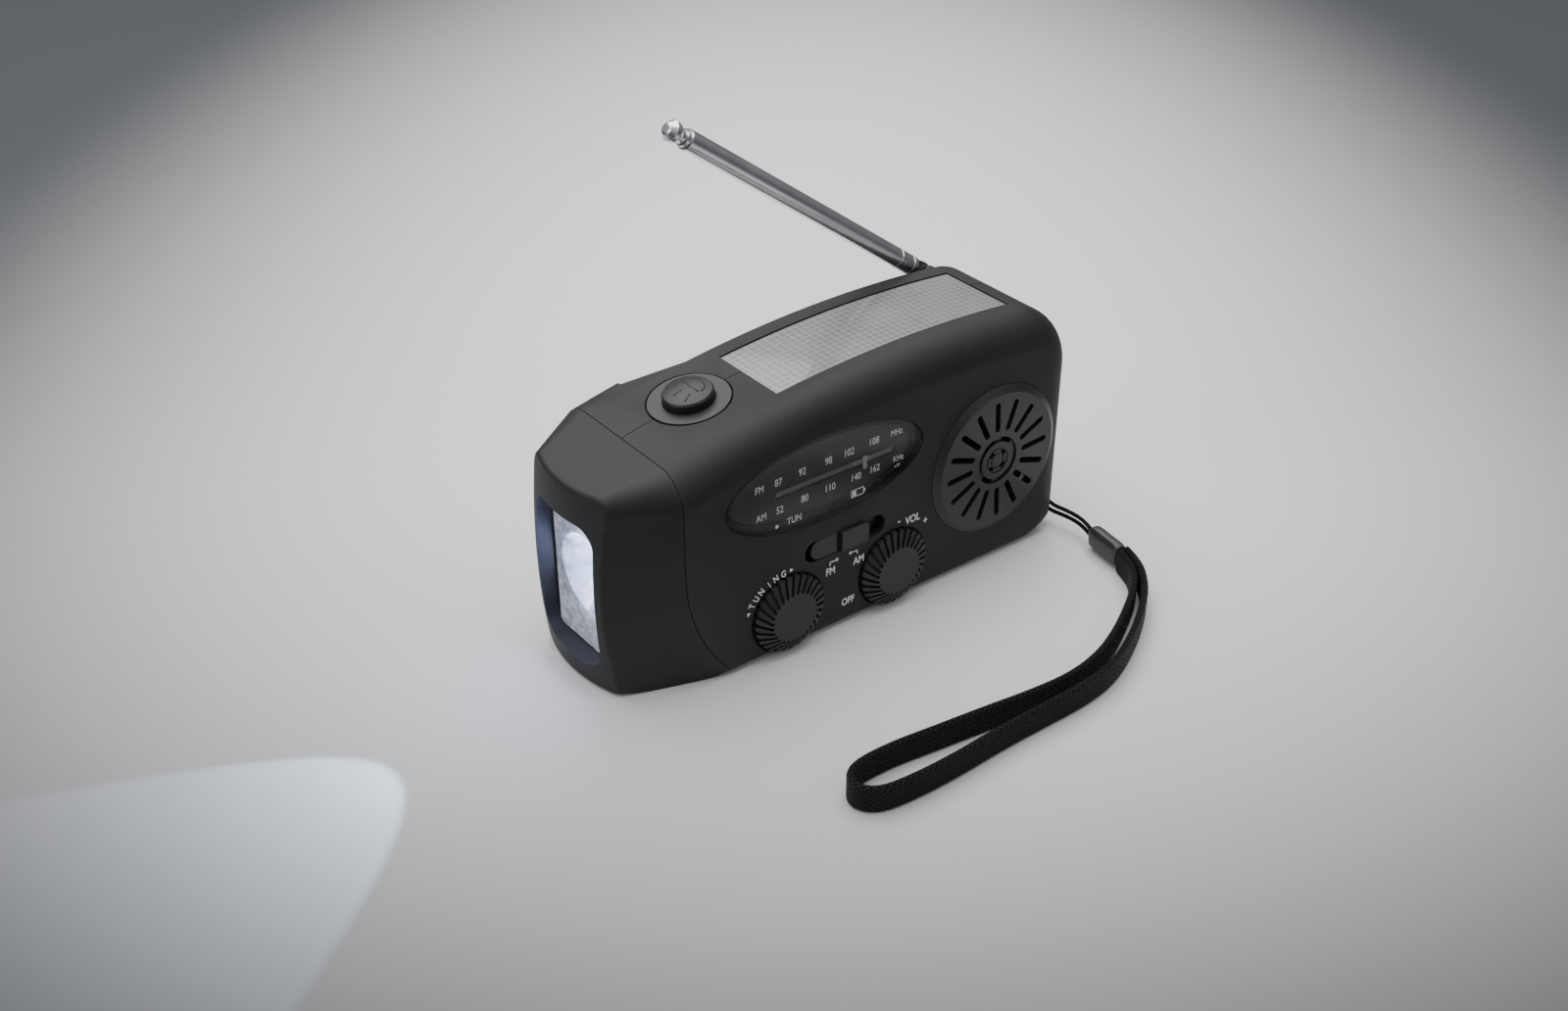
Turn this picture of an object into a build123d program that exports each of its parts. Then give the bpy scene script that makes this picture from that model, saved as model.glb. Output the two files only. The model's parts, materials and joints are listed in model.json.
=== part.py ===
from build123d import *
import os
from math import asin, atan2, cos, degrees, pi, radians, sin, sqrt, tan

# Hand-crank emergency radio with a torch head, a solar panel, a telescopic antenna and a wrist
# strap. Millimetres. The origin is the middle of the flat underside, +X runs to the speaker end,
# -Y is the front with the dial, +Z is up.

# ---- Case ----
HALF_DEPTH = 22.5          # front face to the parting plane, and the same behind it
RIGHT_X = 64.0             # speaker end
WALL = 2.0
ARCH_X = 22.0              # the top is one long arch
ARCH_TOP = 62.0
ARCH_RADIUS = 300.0
TOP_CORNER = 16.0          # speaker end, seen from the front
LOW_CORNER = 13.0
LOW_CORNER_LEAN = 10.0     # degrees by which the low corner's arc stops short of upright
SOFT_EDGE = 8.0            # rounding along the top and the speaker end
LOW_EDGE = 3.0             # rounding along the underside
SEAM_GAP = 0.2
LIP_REACH = 1.4            # tongue that closes the seams from inside
LIP_THICK = 0.8
LIP_CLEAR = 0.12

# ---- Torch head ----
SEAM_X = -48.0             # upright part of the seam between the head and the case
SEAM_TURN_Z = 30.5         # below this height the seam bends towards the speaker end
SEAM_RADIUS = 43.0
NOSE_X = -65.2             # foremost point of the nose
NOSE_CORNER_X = -61.5
NOSE_HALF = 14.0
NOSE_TOP = 49.8
NOSE_SOFT = 3.5            # rounding of the head's top edges where they reach the nose
NOSE_EDGE = 1.3
NOSE_PLAN_RADIUS = 40.0
NOSE_BULGE_RADIUS = 165.0
NOSE_BULGE_Z = 25.5
HEAD_END_X = -66.5
LAMP_Z = 23.75
WINDOW_Y = 22.4
WINDOW_Z = 35.5
WINDOW_CORNER = 5.0
NOSE_WALL_X = -59.8        # inner face of the nose wall
LENS_THICK = 1.2
LENS_HALF_Y, LENS_HALF_Z = 12.2, 19.0
LENS_GAP = 0.05            # between the lens or reflector and the walls of the head
REFLECTOR_RADIUS = 9.6
REFLECTOR_THROAT = 3.0
REFLECTOR_DEPTH = 8.6
LED_RADIUS = 2.4

# ---- Dial ----
DIAL_X, DIAL_Z = -10.5, 41.3
DIAL_A, DIAL_B = 27.2, 10.8
DIAL_GAP = 0.25
DIAL_LENS_THICK = 1.2
DIAL_LEDGE = 2.0
SCALE_Z = 40.0
SCALE_X0, SCALE_X1 = -23.0, 10.3
SCALE_HEIGHT = 1.7
POINTER_X = 1.3

# ---- Knobs and band switch ----
TUNING_X, VOLUME_X, KNOB_Z = -21.0, 9.0, 10.3
KNOB_RADIUS = 9.5
KNOB_FLAT = 5.8
KNOB_PROUD = 2.6
KNOB_RIM = 0.8
KNOB_NOTCHES = 28
KNOB_NOTCH = 0.7           # width of each notch
KNOB_SLANT = 22.0          # degrees by which the notches lean
KNOB_RECESS = 1.1
KNOB_GAP = 0.5
SHAFT_RADIUS = 3.0
BAND_X, BAND_Z = -5.1, 23.3
BAND_LENGTH, BAND_HEIGHT = 22.8, 5.4
BAND_CAP = 16.3
BAND_TRAVEL = 4.0
BAND_CAP_X = -14.7         # left end of the cap with the radio on FM
BAND_CORNER = 1.2          # corners at the right end of its raised half

# ---- Speaker ----
SPEAKER_X, SPEAKER_Z = 39.0, 28.1
GRILLE_RADIUS = 19.0
GRILLE_FLAT = 17.2
GRILLE_PROUD = 1.3
GRILLE_SLOTS = 16
GRILLE_PHASE = 3.4
SLOT_INNER, SLOT_OUTER, SLOT_WIDTH = 7.6, 15.4, 1.5

# ---- Solar panel ----
PANEL_X0, PANEL_X1 = -16.4, 49.5
PANEL_Y0, PANEL_Y1 = -12.3, 8.0
PANEL_GAP = 0.3
PANEL_DEPTH = 2.4
PANEL_SUNK = 0.25
COVER_THICK = 1.1
CELL_THICK = 0.8

# ---- Torch button ----
BUTTON_X = -30.5
BUTTON_RING = 9.15         # outer radius of the ring round it
BUTTON_DOME = 5.7
BUTTON_RISE = 3.1
BUTTON_SIDE = 2.1          # height of its upright side
BUTTON_TRAVEL = 1.2
BUTTON_GAP = 0.45

# ---- Antenna ----
PIVOT_X, PIVOT_Y, PIVOT_Z = 49.5, 15.8, 57.8
ANTENNA_RAISE = 36.3       # degrees above the stowed position
TUBE_RADII = (2.4, 2.0, 1.6, 1.2)
TUBE_WALL = 0.3
TUBE_CLEAR = 0.08
TUBE_START = 5.5
TUBE_END = 84.5
TUBE_STEP = 1.1
CAP_END = 90.5
CAP_RADIUS = 2.4
REBATE_Y = 12.3            # front wall of the rebate that holds the stowed antenna
REBATE_Z = 54.8
REBATE_X0 = -42.0
BRACKET_DROP = 2.2

# ---- Crank and generator ----
HUB_X, HUB_Z = 9.0, 27.0
ARM_REACH = 43.5
ARM_WIDTH = 13.0
ARM_THICK = 3.7
ARM_CLEAR = 0.5
WELL_FLOOR = 18.3          # back face of the case between its raised ends
WELL_MARGIN = 1.6
GRIP_LENGTH = 19.0
GRIP_WIDTH = 8.0
GRIP_THICK = 3.3
GRIP_GAP = 0.4
GEAR_MODULE = 1.0
GEAR_SLACK = 0.2           # added to each centre distance
CRANK_TEETH, PINION_TEETH, WHEEL_TEETH, ROTOR_TEETH = 36, 10, 30, 10
IDLER_ANGLE = 180.0
ROTOR_ANGLE = 217.0
AXLE_RADIUS = 1.0
CRANK_SHAFT_RADIUS = 3.0
RUN_FIT = 0.06             # radial clearance of shafts that turn
STILL_FIT = 0.02           # radial clearance of parts that stay put on a shaft
GEAR_THICK = 3.0
PLATE_Y0, PLATE_Y1 = 6.0, 7.2
GENERATOR_RADIUS = 11.8
GENERATOR_FRONT = -9.0

# ---- Boards, battery and port ----
BOARD_Y0, BOARD_Y1 = -12.4, -11.2
BATTERY_RADIUS = 9.0
BATTERY_X0, BATTERY_X1, BATTERY_Y = 29.0, 49.0, 0.5
BATTERY_CLEAR = 0.18       # under the wall of the solar panel's pocket
CONTROL_CLEAR = 0.3        # between the tuning and volume controls and the floor of the case
PORT_Y, PORT_Z = 7.0, 20.6
PORT_HALF_Y, PORT_HALF_Z = 5.6, 3.6
PORT_COVER = 0.85          # thickness of its rubber cover, hinged at its front edge
PORT_COVER_SUNK = 0.05
PORT_COVER_GAP = 0.15

# ---- Case screws: x, z ----
SCREWS = ((-42.0, 42.0), (-6.0, 5.6), (51.5, 6.2), (58.0, 45.0))
BOSS_RADIUS = 3.0
SCREW_RADIUS = 1.1
SCREW_SEAT_Y = 8.0

# ---- Strap ----
LUG_X, LUG_Y, LUG_Z = 60.1, -9.7, 7.0
LUG_PIN = 0.9
STRING_RADIUS = 0.5
STRAP_THICK = 1.6
STRAP_WIDTH = 6.5
BEAD = (3.8, 11.0, 6.0)    # thickness, length, height
BEAD_AT = (61.9, -39.6, 3.6)
BEAD_TURN = -8.4

FRONT = -HALF_DEPTH
BACK = HALF_DEPTH
FAR = 200.0
ARM_FRONT = WELL_FLOOR + ARM_CLEAR
ARM_BACK = ARM_FRONT + ARM_THICK


# ---- Helpers ----
def box(x0, x1, y0, y1, z0, z1):
    return Pos((x0 + x1) / 2, (y0 + y1) / 2, (z0 + z1) / 2) * Box(x1 - x0, y1 - y0, z1 - z0)


def rod_y(x, z, y0, y1, radius):
    return Pos(x, (y0 + y1) / 2, z) * Rot(X=90) * Cylinder(radius, y1 - y0)


def rod_x(y, z, x0, x1, radius):
    return Pos((x0 + x1) / 2, y, z) * Rot(Y=90) * Cylinder(radius, x1 - x0)


def rod_z(x, y, z0, z1, radius):
    return Pos(x, y, (z0 + z1) / 2) * Cylinder(radius, z1 - z0)


def spun(points, x, z):
    """A solid of revolution about an axis along Y through x, z, from (radius, y) points."""
    profile = Plane.XY * make_face(Polyline(*points, close=True))
    return Pos(x, 0, z) * revolve(profile, Axis.Y)


def plate_xz(sketch, y0, y1):
    """A flat sketch, drawn in x and z, as a plate between two values of y."""
    return extrude(Plane((0, y1, 0), x_dir=(1, 0, 0), z_dir=(0, -1, 0)) * sketch, y1 - y0)


def one(shape):
    """The largest solid of a shape, for cuts that leave slivers."""
    return shape.solids().sort_by(SortBy.VOLUME)[-1]


def top_z(x):
    return ARCH_TOP - ARCH_RADIUS + sqrt(ARCH_RADIUS ** 2 - (x - ARCH_X) ** 2)


def seam_x(z):
    if z >= SEAM_TURN_Z:
        return SEAM_X
    return SEAM_X + SEAM_RADIUS - sqrt(SEAM_RADIUS ** 2 - (SEAM_TURN_Z - z) ** 2)


# ---- Outer forms, each also made smaller for the inside of a wall ----
def upper_block(inset):
    left = SEAM_X - 30
    right = RIGHT_X - inset
    base = -30.0
    disc = Pos(ARCH_X, ARCH_TOP - ARCH_RADIUS) * Circle(ARCH_RADIUS - inset)
    frame = Pos((left + right) / 2, (base + FAR) / 2) * Rectangle(right - left, FAR - base)
    outline = disc & frame
    corner = outline.vertices().sort_by(lambda v: v.X + v.Y)[-1]
    outline = fillet(corner, TOP_CORNER - inset)
    half = HALF_DEPTH - inset
    solid = one(plate_xz(outline, -half, half))
    rim = [e for e in solid.edges()
           if abs(abs(e.center().Y) - half) < 1e-3 and e.center().Z > base + 1
           and e.center().X > left + 1]
    return fillet(rim, max(SOFT_EDGE - inset, 0.4))


def lower_block(inset):
    left = SEAM_X - 30
    lean = radians(LOW_CORNER_LEAN)
    knee_x = RIGHT_X - inset - 0.15
    knee_z = LOW_CORNER * (1 - sin(lean))
    foot_x = knee_x - (knee_z - inset) * tan(lean)
    head_x = knee_x + (FAR - knee_z) * tan(lean)
    outline = make_face(Polyline((left, inset), (foot_x, inset), (head_x, FAR), (left, FAR),
                                 close=True))
    corner = outline.vertices().sort_by(lambda v: v.X - 2 * v.Y)[-1]
    outline = fillet(corner, LOW_CORNER - inset)
    half = HALF_DEPTH - inset
    solid = one(plate_xz(outline, -half, half))
    rim = [e for e in solid.edges()
           if abs(abs(e.center().Y) - half) < 1e-3 and e.center().Z < FAR - 1
           and e.center().X > left + 1]
    return fillet(rim, max(LOW_EDGE - inset, 0.4))


def case_block(inset):
    return one(upper_block(inset) & lower_block(inset))


def seam_side(shift):
    """Everything on the torch side of the seam, moved along X by shift."""
    low = -2.0
    mid = (low + SEAM_TURN_Z) / 2
    outline = make_face([
        Line((-FAR, low), (seam_x(low), low)),
        ThreePointArc((seam_x(low), low), (seam_x(mid), mid), (SEAM_X, SEAM_TURN_Z)),
        Line((SEAM_X, SEAM_TURN_Z), (SEAM_X, FAR)),
        Line((SEAM_X, FAR), (-FAR, FAR)),
        Line((-FAR, FAR), (-FAR, low))])
    return Pos(shift, 0, 0) * plate_xz(outline, -2 * HALF_DEPTH, 2 * HALF_DEPTH)


def head_section(x, inset):
    """The head's rounded outline across X, narrower and lower towards the nose."""
    share = (SEAM_X - x) / (SEAM_X - NOSE_CORNER_X)
    half = HALF_DEPTH + (NOSE_HALF - HALF_DEPTH) * share - 1.15 * inset
    top = top_z(SEAM_X) + (NOSE_TOP - top_z(SEAM_X)) * share - inset
    soft = max(SOFT_EDGE + (NOSE_SOFT - SOFT_EDGE) * share - inset, 0.6)
    low = max(LOW_EDGE - inset, 0.6)
    sketch = Pos(0, (top + inset) / 2) * Rectangle(2 * half, top - inset)
    sketch = fillet(sketch.vertices().group_by(Axis.Y)[-1], soft)
    sketch = fillet(sketch.vertices().group_by(Axis.Y)[0], low)
    return Plane((x, 0, 0), x_dir=(0, 1, 0), z_dir=(1, 0, 0)) * sketch


def taper_slice(z, inset):
    """The head's plan at one height: its sides run from the nose corners to the seam."""
    nose = NOSE_HALF - inset
    run = seam_x(z) - NOSE_CORNER_X
    slope = (HALF_DEPTH - inset - nose) / run
    wide = 2 * HALF_DEPTH
    end_x = NOSE_CORNER_X + (wide - nose) / slope
    tip = nose + slope * (HEAD_END_X - NOSE_CORNER_X)
    plan = make_face(Polyline((HEAD_END_X, tip), (end_x, wide), (end_x, -wide),
                              (HEAD_END_X, -tip), close=True))
    return Plane((0, 0, z), x_dir=(1, 0, 0), z_dir=(0, 0, 1)) * plan


def taper_block(inset):
    steps = 4
    low = -2.0
    heights = [low + (SEAM_TURN_Z - low) * i / steps for i in range(steps + 1)]
    lower = loft([taper_slice(z, inset) for z in heights])
    upper = extrude(taper_slice(SEAM_TURN_Z, inset), 60)
    return lower + upper


def nose_barrel(inset):
    """The nose face bulges both ways, so it is cut by a barrel."""
    axis_x = NOSE_X + NOSE_PLAN_RADIUS
    disc = Pos(NOSE_X + inset + NOSE_BULGE_RADIUS, NOSE_BULGE_Z) * Circle(NOSE_BULGE_RADIUS)
    frame = Pos(axis_x - 50, NOSE_BULGE_Z) * Rectangle(100, 120)
    outline = Plane.XZ * (disc & frame)
    return revolve(outline, Axis((axis_x, 0, 0), (0, 0, 1)))


def head_block(inset):
    front = loft([head_section(HEAD_END_X, inset), head_section(SEAM_X, inset)], ruled=True)
    rest = case_block(inset) & box(SEAM_X, SEAM_X + 20, -FAR, FAR, -FAR, FAR)
    solid = (front + rest) & taper_block(inset)
    return one(solid & nose_barrel(inset) & seam_side(0))


# ---- Local frames ----
def arch_frame(x):
    """A frame on the arch at x, whose z stands square to the surface."""
    lean = asin((x - ARCH_X) / ARCH_RADIUS)
    return Location((x, 0, top_z(x))) * Rot(Y=degrees(lean))


def arch_slab(x0, x1, y0, y1, low, high):
    """A curved plate that follows the arch, from depth low to depth high under its surface."""
    centre = Pos(ARCH_X, ARCH_TOP - ARCH_RADIUS)
    ring = centre * Circle(ARCH_RADIUS - low) - centre * Circle(ARCH_RADIUS - high)
    window = Pos((x0 + x1) / 2, ARCH_TOP) * Rectangle(x1 - x0, 40)
    return one(plate_xz(ring & window, y0, y1))


ANTENNA = Location((PIVOT_X, PIVOT_Y, PIVOT_Z)) * Rot(Y=ANTENNA_RAISE - 90)
BUTTON = arch_frame(BUTTON_X)


# ---- Case pieces ----
def rebate(grow):
    return box(REBATE_X0 - grow, FAR, REBATE_Y - grow, FAR, REBATE_Z - grow, FAR)


def bracket_pocket(grow):
    return box(PIVOT_X - 5.6 - grow, PIVOT_X + 9.6 + grow, REBATE_Y - grow, FAR,
               REBATE_Z - BRACKET_DROP - grow, FAR)


def well(grow):
    sweep = ARM_REACH + WELL_MARGIN
    return box(HUB_X - sweep - grow, HUB_X + sweep + grow, WELL_FLOOR - grow, FAR, -FAR, FAR)


def panel_pocket(grow):
    return arch_slab(PANEL_X0 - PANEL_GAP - grow, PANEL_X1 + PANEL_GAP + grow,
                     PANEL_Y0 - PANEL_GAP - grow, PANEL_Y1 + PANEL_GAP + grow,
                     -5, PANEL_DEPTH + grow)


def lug_pocket(grow):
    return box(LUG_X - 2.8 - grow, FAR, LUG_Y - 3.7 - grow, LUG_Y + 3.7 + grow,
               LUG_Z - 2.8 - grow, LUG_Z + 2.9 + grow)


def inner_space():
    solid = case_block(WALL)
    for cut in (rebate(WALL), bracket_pocket(WALL), well(WALL), panel_pocket(WALL),
                lug_pocket(WALL * 0.75)):
        solid = solid - cut
    return one(solid)


def lip(region, keep):
    """A thin tongue along the inside of the wall, rooted in it inside the region keep."""
    outer = case_block(WALL + LIP_CLEAR)
    core = case_block(WALL + LIP_CLEAR + LIP_THICK)
    root = (case_block(WALL - 0.2) - core) & keep
    return ((outer - core) & region) + root


def screw_boss(x, z, y0, y1):
    return rod_y(x, z, y0, y1, BOSS_RADIUS)


def front_shell():
    half = box(-FAR, FAR, -FAR, -SEAM_GAP / 2, -FAR, FAR)
    outer = case_block(0) - seam_side(SEAM_GAP)
    solid = (outer & half) - inner_space()
    tongue = lip(box(-FAR, FAR, -1.5, LIP_REACH, -FAR, FAR),
                 box(-FAR, FAR, -2.6, -SEAM_GAP, -FAR, FAR))
    tongue = tongue - seam_side(2.4) - rebate(WALL + 1) - panel_pocket(WALL + LIP_CLEAR) \
        - lug_pocket(WALL + LIP_CLEAR)
    tongue = tongue - rod_y(*rotor_at(), -FAR, FAR, GENERATOR_RADIUS + LIP_CLEAR)
    for x, z in SCREWS:
        tongue = tongue - rod_y(x, z, 0, FAR, BOSS_RADIUS + LIP_CLEAR)
    solid = one(solid + tongue)
    inside = outer & box(-FAR, FAR, FRONT + 0.5, -SEAM_GAP / 2, -FAR, FAR)
    for x, z in SCREWS:
        solid = solid + (screw_boss(x, z, FRONT + 1, -SEAM_GAP) & inside)
    for x in (TUNING_X, VOLUME_X):
        solid = solid + (rod_y(x, KNOB_Z, FRONT + 0.8, FRONT + WALL + KNOB_RECESS,
                               KNOB_RADIUS - 0.9) & inside)
    for x, z in SCREWS:
        solid = solid - rod_y(x, z, FRONT + 4, 1, SCREW_RADIUS + STILL_FIT)
    for x in (TUNING_X, VOLUME_X):
        solid = solid - rod_y(x, KNOB_Z, FRONT - 1, FRONT + KNOB_RECESS,
                              KNOB_RADIUS + KNOB_GAP)
        solid = solid - rod_y(x, KNOB_Z, FRONT - 1, 0, SHAFT_RADIUS + 0.4)
    lens = Pos(DIAL_X, DIAL_Z) * Ellipse(DIAL_A, DIAL_B)
    sight = Pos(DIAL_X, DIAL_Z) * Ellipse(DIAL_A - DIAL_LEDGE, DIAL_B - DIAL_LEDGE)
    solid = solid - plate_xz(lens, FRONT - 1, FRONT + DIAL_LENS_THICK + 0.1)
    solid = solid - plate_xz(sight, FRONT - 1, FRONT + WALL + 0.5)
    slot = Pos(BAND_X, BAND_Z) * SlotOverall(BAND_LENGTH, BAND_HEIGHT)
    solid = solid - plate_xz(slot, FRONT - 1, FRONT + WALL + 0.5)
    solid = solid - rod_y(SPEAKER_X, SPEAKER_Z, FRONT - 1, FRONT + 0.9, GRILLE_RADIUS + 0.05)
    solid = solid - rod_y(SPEAKER_X, SPEAKER_Z, FRONT - 1, FRONT + 3, GRILLE_RADIUS - 1.6)
    return one(cut_top_features(solid) - lug_pocket(0) - lug_pin_hole())


def cut_top_features(solid):
    """The panel's pocket and the button's well cross the parting plane."""
    solid = solid - panel_pocket(0)
    solid = solid - BUTTON * rod_z(0, 0, -1.3, 6, BUTTON_RING + BUTTON_GAP)
    return solid - BUTTON * rod_z(0, 0, -6, 1, BUTTON_DOME + 1.3)


def lug_pin_hole():
    return rod_y(LUG_X, LUG_Z, LUG_Y - 4.8, LUG_Y + 4.8, LUG_PIN + STILL_FIT)


def rear_shell():
    half = box(-FAR, FAR, SEAM_GAP / 2, FAR, -FAR, FAR)
    outer = case_block(0) - seam_side(SEAM_GAP)
    outer = (outer & half) - rebate(0) - bracket_pocket(0) - well(0)
    solid = outer - inner_space()
    inside = outer & box(-FAR, FAR, 0, BACK - 0.5, -FAR, FAR)
    for x, z in SCREWS:
        solid = solid + (screw_boss(x, z, SEAM_GAP, BACK) & inside)
    solid = solid + rod_y(HUB_X, HUB_Z, WELL_FLOOR - WALL - 0.7, WELL_FLOOR - 0.5, 6)
    solid = solid + rod_y(*idler_at(), WELL_FLOOR - WALL - 0.7, WELL_FLOOR - 0.5, 3)
    for x, z in SCREWS:
        solid = solid - rod_y(x, z, -1, SCREW_SEAT_Y + 1, SCREW_RADIUS + 0.15)
        solid = solid - rod_y(x, z, SCREW_SEAT_Y, BACK + 1, SCREW_RADIUS + 1.2)
    solid = solid - rod_y(HUB_X, HUB_Z, 10, BACK, CRANK_SHAFT_RADIUS + RUN_FIT)
    solid = solid - rod_y(*idler_at(), 10, WELL_FLOOR - 1.2, AXLE_RADIUS + STILL_FIT)
    solid = solid - port_recess(PORT_COVER_GAP)
    solid = solid - box(RIGHT_X - 5, RIGHT_X + 1, PORT_Y - 4.0, PORT_Y + 4.0, PORT_Z - 1.7,
                        PORT_Z + 1.7)
    solid = solid - rod_z(PIVOT_X + 7, PIVOT_Y, REBATE_Z - 8, REBATE_Z, 1.0 + STILL_FIT)
    return one(cut_top_features(solid))


def torch_head():
    solid = head_block(0)
    nose = solid.faces().sort_by(Axis.X)[0]
    solid = fillet(nose.edges(), NOSE_EDGE)
    hollow = head_block(WALL) & box(NOSE_WALL_X, FAR, -FAR, FAR, -FAR, FAR)
    hollow = hollow + (case_block(WALL) & box(SEAM_X - 1, FAR, -15, 15, -FAR, FAR)
                       & seam_side(0))
    solid = solid - hollow
    window = RectangleRounded(WINDOW_Y, WINDOW_Z, WINDOW_CORNER)
    frame = Plane((HEAD_END_X - 2, 0, LAMP_Z), x_dir=(0, 1, 0), z_dir=(1, 0, 0))
    solid = solid - extrude(frame * window, 12)
    return one(solid)


def case_screws():
    parts = []
    for x, z in SCREWS:
        head = rod_y(x, z, SCREW_SEAT_Y + 0.05, SCREW_SEAT_Y + 1.8, SCREW_RADIUS + 1.0)
        cross = box(x - 1.3, x + 1.3, SCREW_SEAT_Y + 1.1, FAR, z - 0.25, z + 0.25)
        cross = cross + box(x - 0.25, x + 0.25, SCREW_SEAT_Y + 1.1, FAR, z - 1.3, z + 1.3)
        parts.append(one(head + rod_y(x, z, -11, SCREW_SEAT_Y + 0.5, SCREW_RADIUS) - cross))
    return Compound(children=parts)


# ---- Torch ----
def lens_slab(x0, x1):
    """An upright slab across the head, trimmed where the head's walls come closer."""
    return one(box(x0, x1, -LENS_HALF_Y, LENS_HALF_Y, LAMP_Z - LENS_HALF_Z,
                   LAMP_Z + LENS_HALF_Z) & head_block(WALL + LENS_GAP))


def torch_lens():
    x0 = NOSE_WALL_X + 0.05
    return lens_slab(x0, x0 + LENS_THICK)


def torch_reflector():
    x0 = NOSE_WALL_X + LENS_THICK + 0.1
    x1 = x0 + REFLECTOR_DEPTH
    plate = lens_slab(x0, x0 + 1.0)
    cup = [(x0, 0), (x0, REFLECTOR_RADIUS + 0.8), (x1, REFLECTOR_THROAT + 0.8), (x1, 0)]
    bowl = [(x0 - 0.1, 0), (x0 - 0.1, REFLECTOR_RADIUS), (x0 + 3.2, 7.6), (x0 + 6.0, 5.2),
            (x1 + 0.1, REFLECTOR_THROAT), (x1 + 0.1, 0)]
    turned = [Pos(0, 0, LAMP_Z) * revolve(Plane.XY * make_face(Polyline(*p, close=True)), Axis.X)
              for p in (cup, bowl)]
    return one(plate + turned[0] - turned[1])


def led_face_x():
    return NOSE_WALL_X + LENS_THICK + 0.1 + REFLECTOR_DEPTH + 0.15


def torch_led():
    x1 = led_face_x() - 0.02
    body = rod_x(0, LAMP_Z, x1 - 3.4, x1, LED_RADIUS)
    return one(body + Pos(x1 - 3.4, 0, LAMP_Z) * Sphere(LED_RADIUS))


def led_board():
    x0 = led_face_x()
    return box(x0, x0 + 1.2, -8, 8, LAMP_Z - 8, LAMP_Z + 8)


# ---- Dial ----
def dial_lens():
    shape = Pos(DIAL_X, DIAL_Z) * Ellipse(DIAL_A - DIAL_GAP, DIAL_B - DIAL_GAP)
    return plate_xz(shape, FRONT + 0.05, FRONT + DIAL_LENS_THICK + 0.05)


def dial_plate():
    y0 = FRONT + WALL + 0.05
    shape = Pos(DIAL_X, DIAL_Z) * Ellipse(DIAL_A - 0.6, DIAL_B - 0.6)
    length = SCALE_X1 - SCALE_X0
    gap = Pos((SCALE_X0 + SCALE_X1) / 2, SCALE_Z) * SlotOverall(length, SCALE_HEIGHT)
    return plate_xz(shape - gap, y0, y0 + 0.6)


def dial_pointer():
    y0 = FRONT + DIAL_LENS_THICK + 0.25
    plate_back = FRONT + WALL + 0.65
    blade = box(POINTER_X - 0.5, POINTER_X + 0.5, y0, y0 + 0.35, SCALE_Z - 1.6, SCALE_Z + 1.6)
    neck = box(POINTER_X - 0.4, POINTER_X + 0.4, y0, plate_back + 1, SCALE_Z - 0.5, SCALE_Z + 0.5)
    slide = box(POINTER_X - 2.5, POINTER_X + 2.5, plate_back + 0.2, plate_back + 1.6,
                SCALE_Z - 2, SCALE_Z + 2)
    return one(blade + neck + slide)


def pointer_rail():
    plate_back = FRONT + WALL + 0.65
    y0 = plate_back + 1.75
    bar = box(SCALE_X0 - 6, SCALE_X1 + 6, y0, y0 + 0.7, SCALE_Z - 2.4, SCALE_Z + 2.4)
    for x in (SCALE_X0 - 6, SCALE_X1 + 4.5):
        bar = bar + box(x, x + 1.5, plate_back + 0.05, y0 + 0.1, SCALE_Z - 2.4, SCALE_Z + 2.4)
    return one(bar)


# ---- Knobs, shafts and switches ----
def knob(x):
    seat = FRONT + KNOB_RECESS - 0.25
    rim = FRONT - KNOB_RIM
    face = FRONT - KNOB_PROUD
    body = spun([(0, seat), (KNOB_RADIUS, seat), (KNOB_RADIUS, rim), (KNOB_FLAT + 0.5, face),
                 (0, face)], x, KNOB_Z)
    slope = degrees(atan2(face - rim, KNOB_FLAT + 0.5 - KNOB_RADIUS)) - 180
    middle = Pos((KNOB_RADIUS + KNOB_FLAT) / 2 + 0.2, (face + rim) / 2 - 0.05, 0)
    on_slope = middle * Rot(Z=slope) * Rot(Y=KNOB_SLANT) * Box(4.6, 1.5, KNOB_NOTCH)
    on_rim = Pos(KNOB_RADIUS, rim + 0.3, -0.9) * Box(1.1, 3.0, KNOB_NOTCH)
    for i in range(KNOB_NOTCHES):
        turn = Pos(x, 0, KNOB_Z) * Rot(Y=360 * i / KNOB_NOTCHES)
        body = body - turn * on_slope - turn * on_rim
    return one(body - rod_y(x, KNOB_Z, face + 1.2, 0, SHAFT_RADIUS + STILL_FIT))


def knob_shaft(x):
    return rod_y(x, KNOB_Z, FRONT - KNOB_PROUD + 1.3, BOARD_Y0 - 5.4, SHAFT_RADIUS)


def tuning_capacitor():
    half = KNOB_Z - WALL - CONTROL_CLEAR
    body = box(TUNING_X - half, TUNING_X + half, BOARD_Y0 - 6.2, BOARD_Y0 - 0.05,
               KNOB_Z - half, KNOB_Z + half)
    return body - rod_y(TUNING_X, KNOB_Z, -FAR / 4, BOARD_Y0 - 5.2, SHAFT_RADIUS + RUN_FIT)


def volume_control():
    body = rod_y(VOLUME_X, KNOB_Z, BOARD_Y0 - 6.2, BOARD_Y0 - 0.05,
                 KNOB_Z - WALL - CONTROL_CLEAR)
    return body - rod_y(VOLUME_X, KNOB_Z, -FAR / 4, BOARD_Y0 - 5.2, SHAFT_RADIUS + RUN_FIT)


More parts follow.
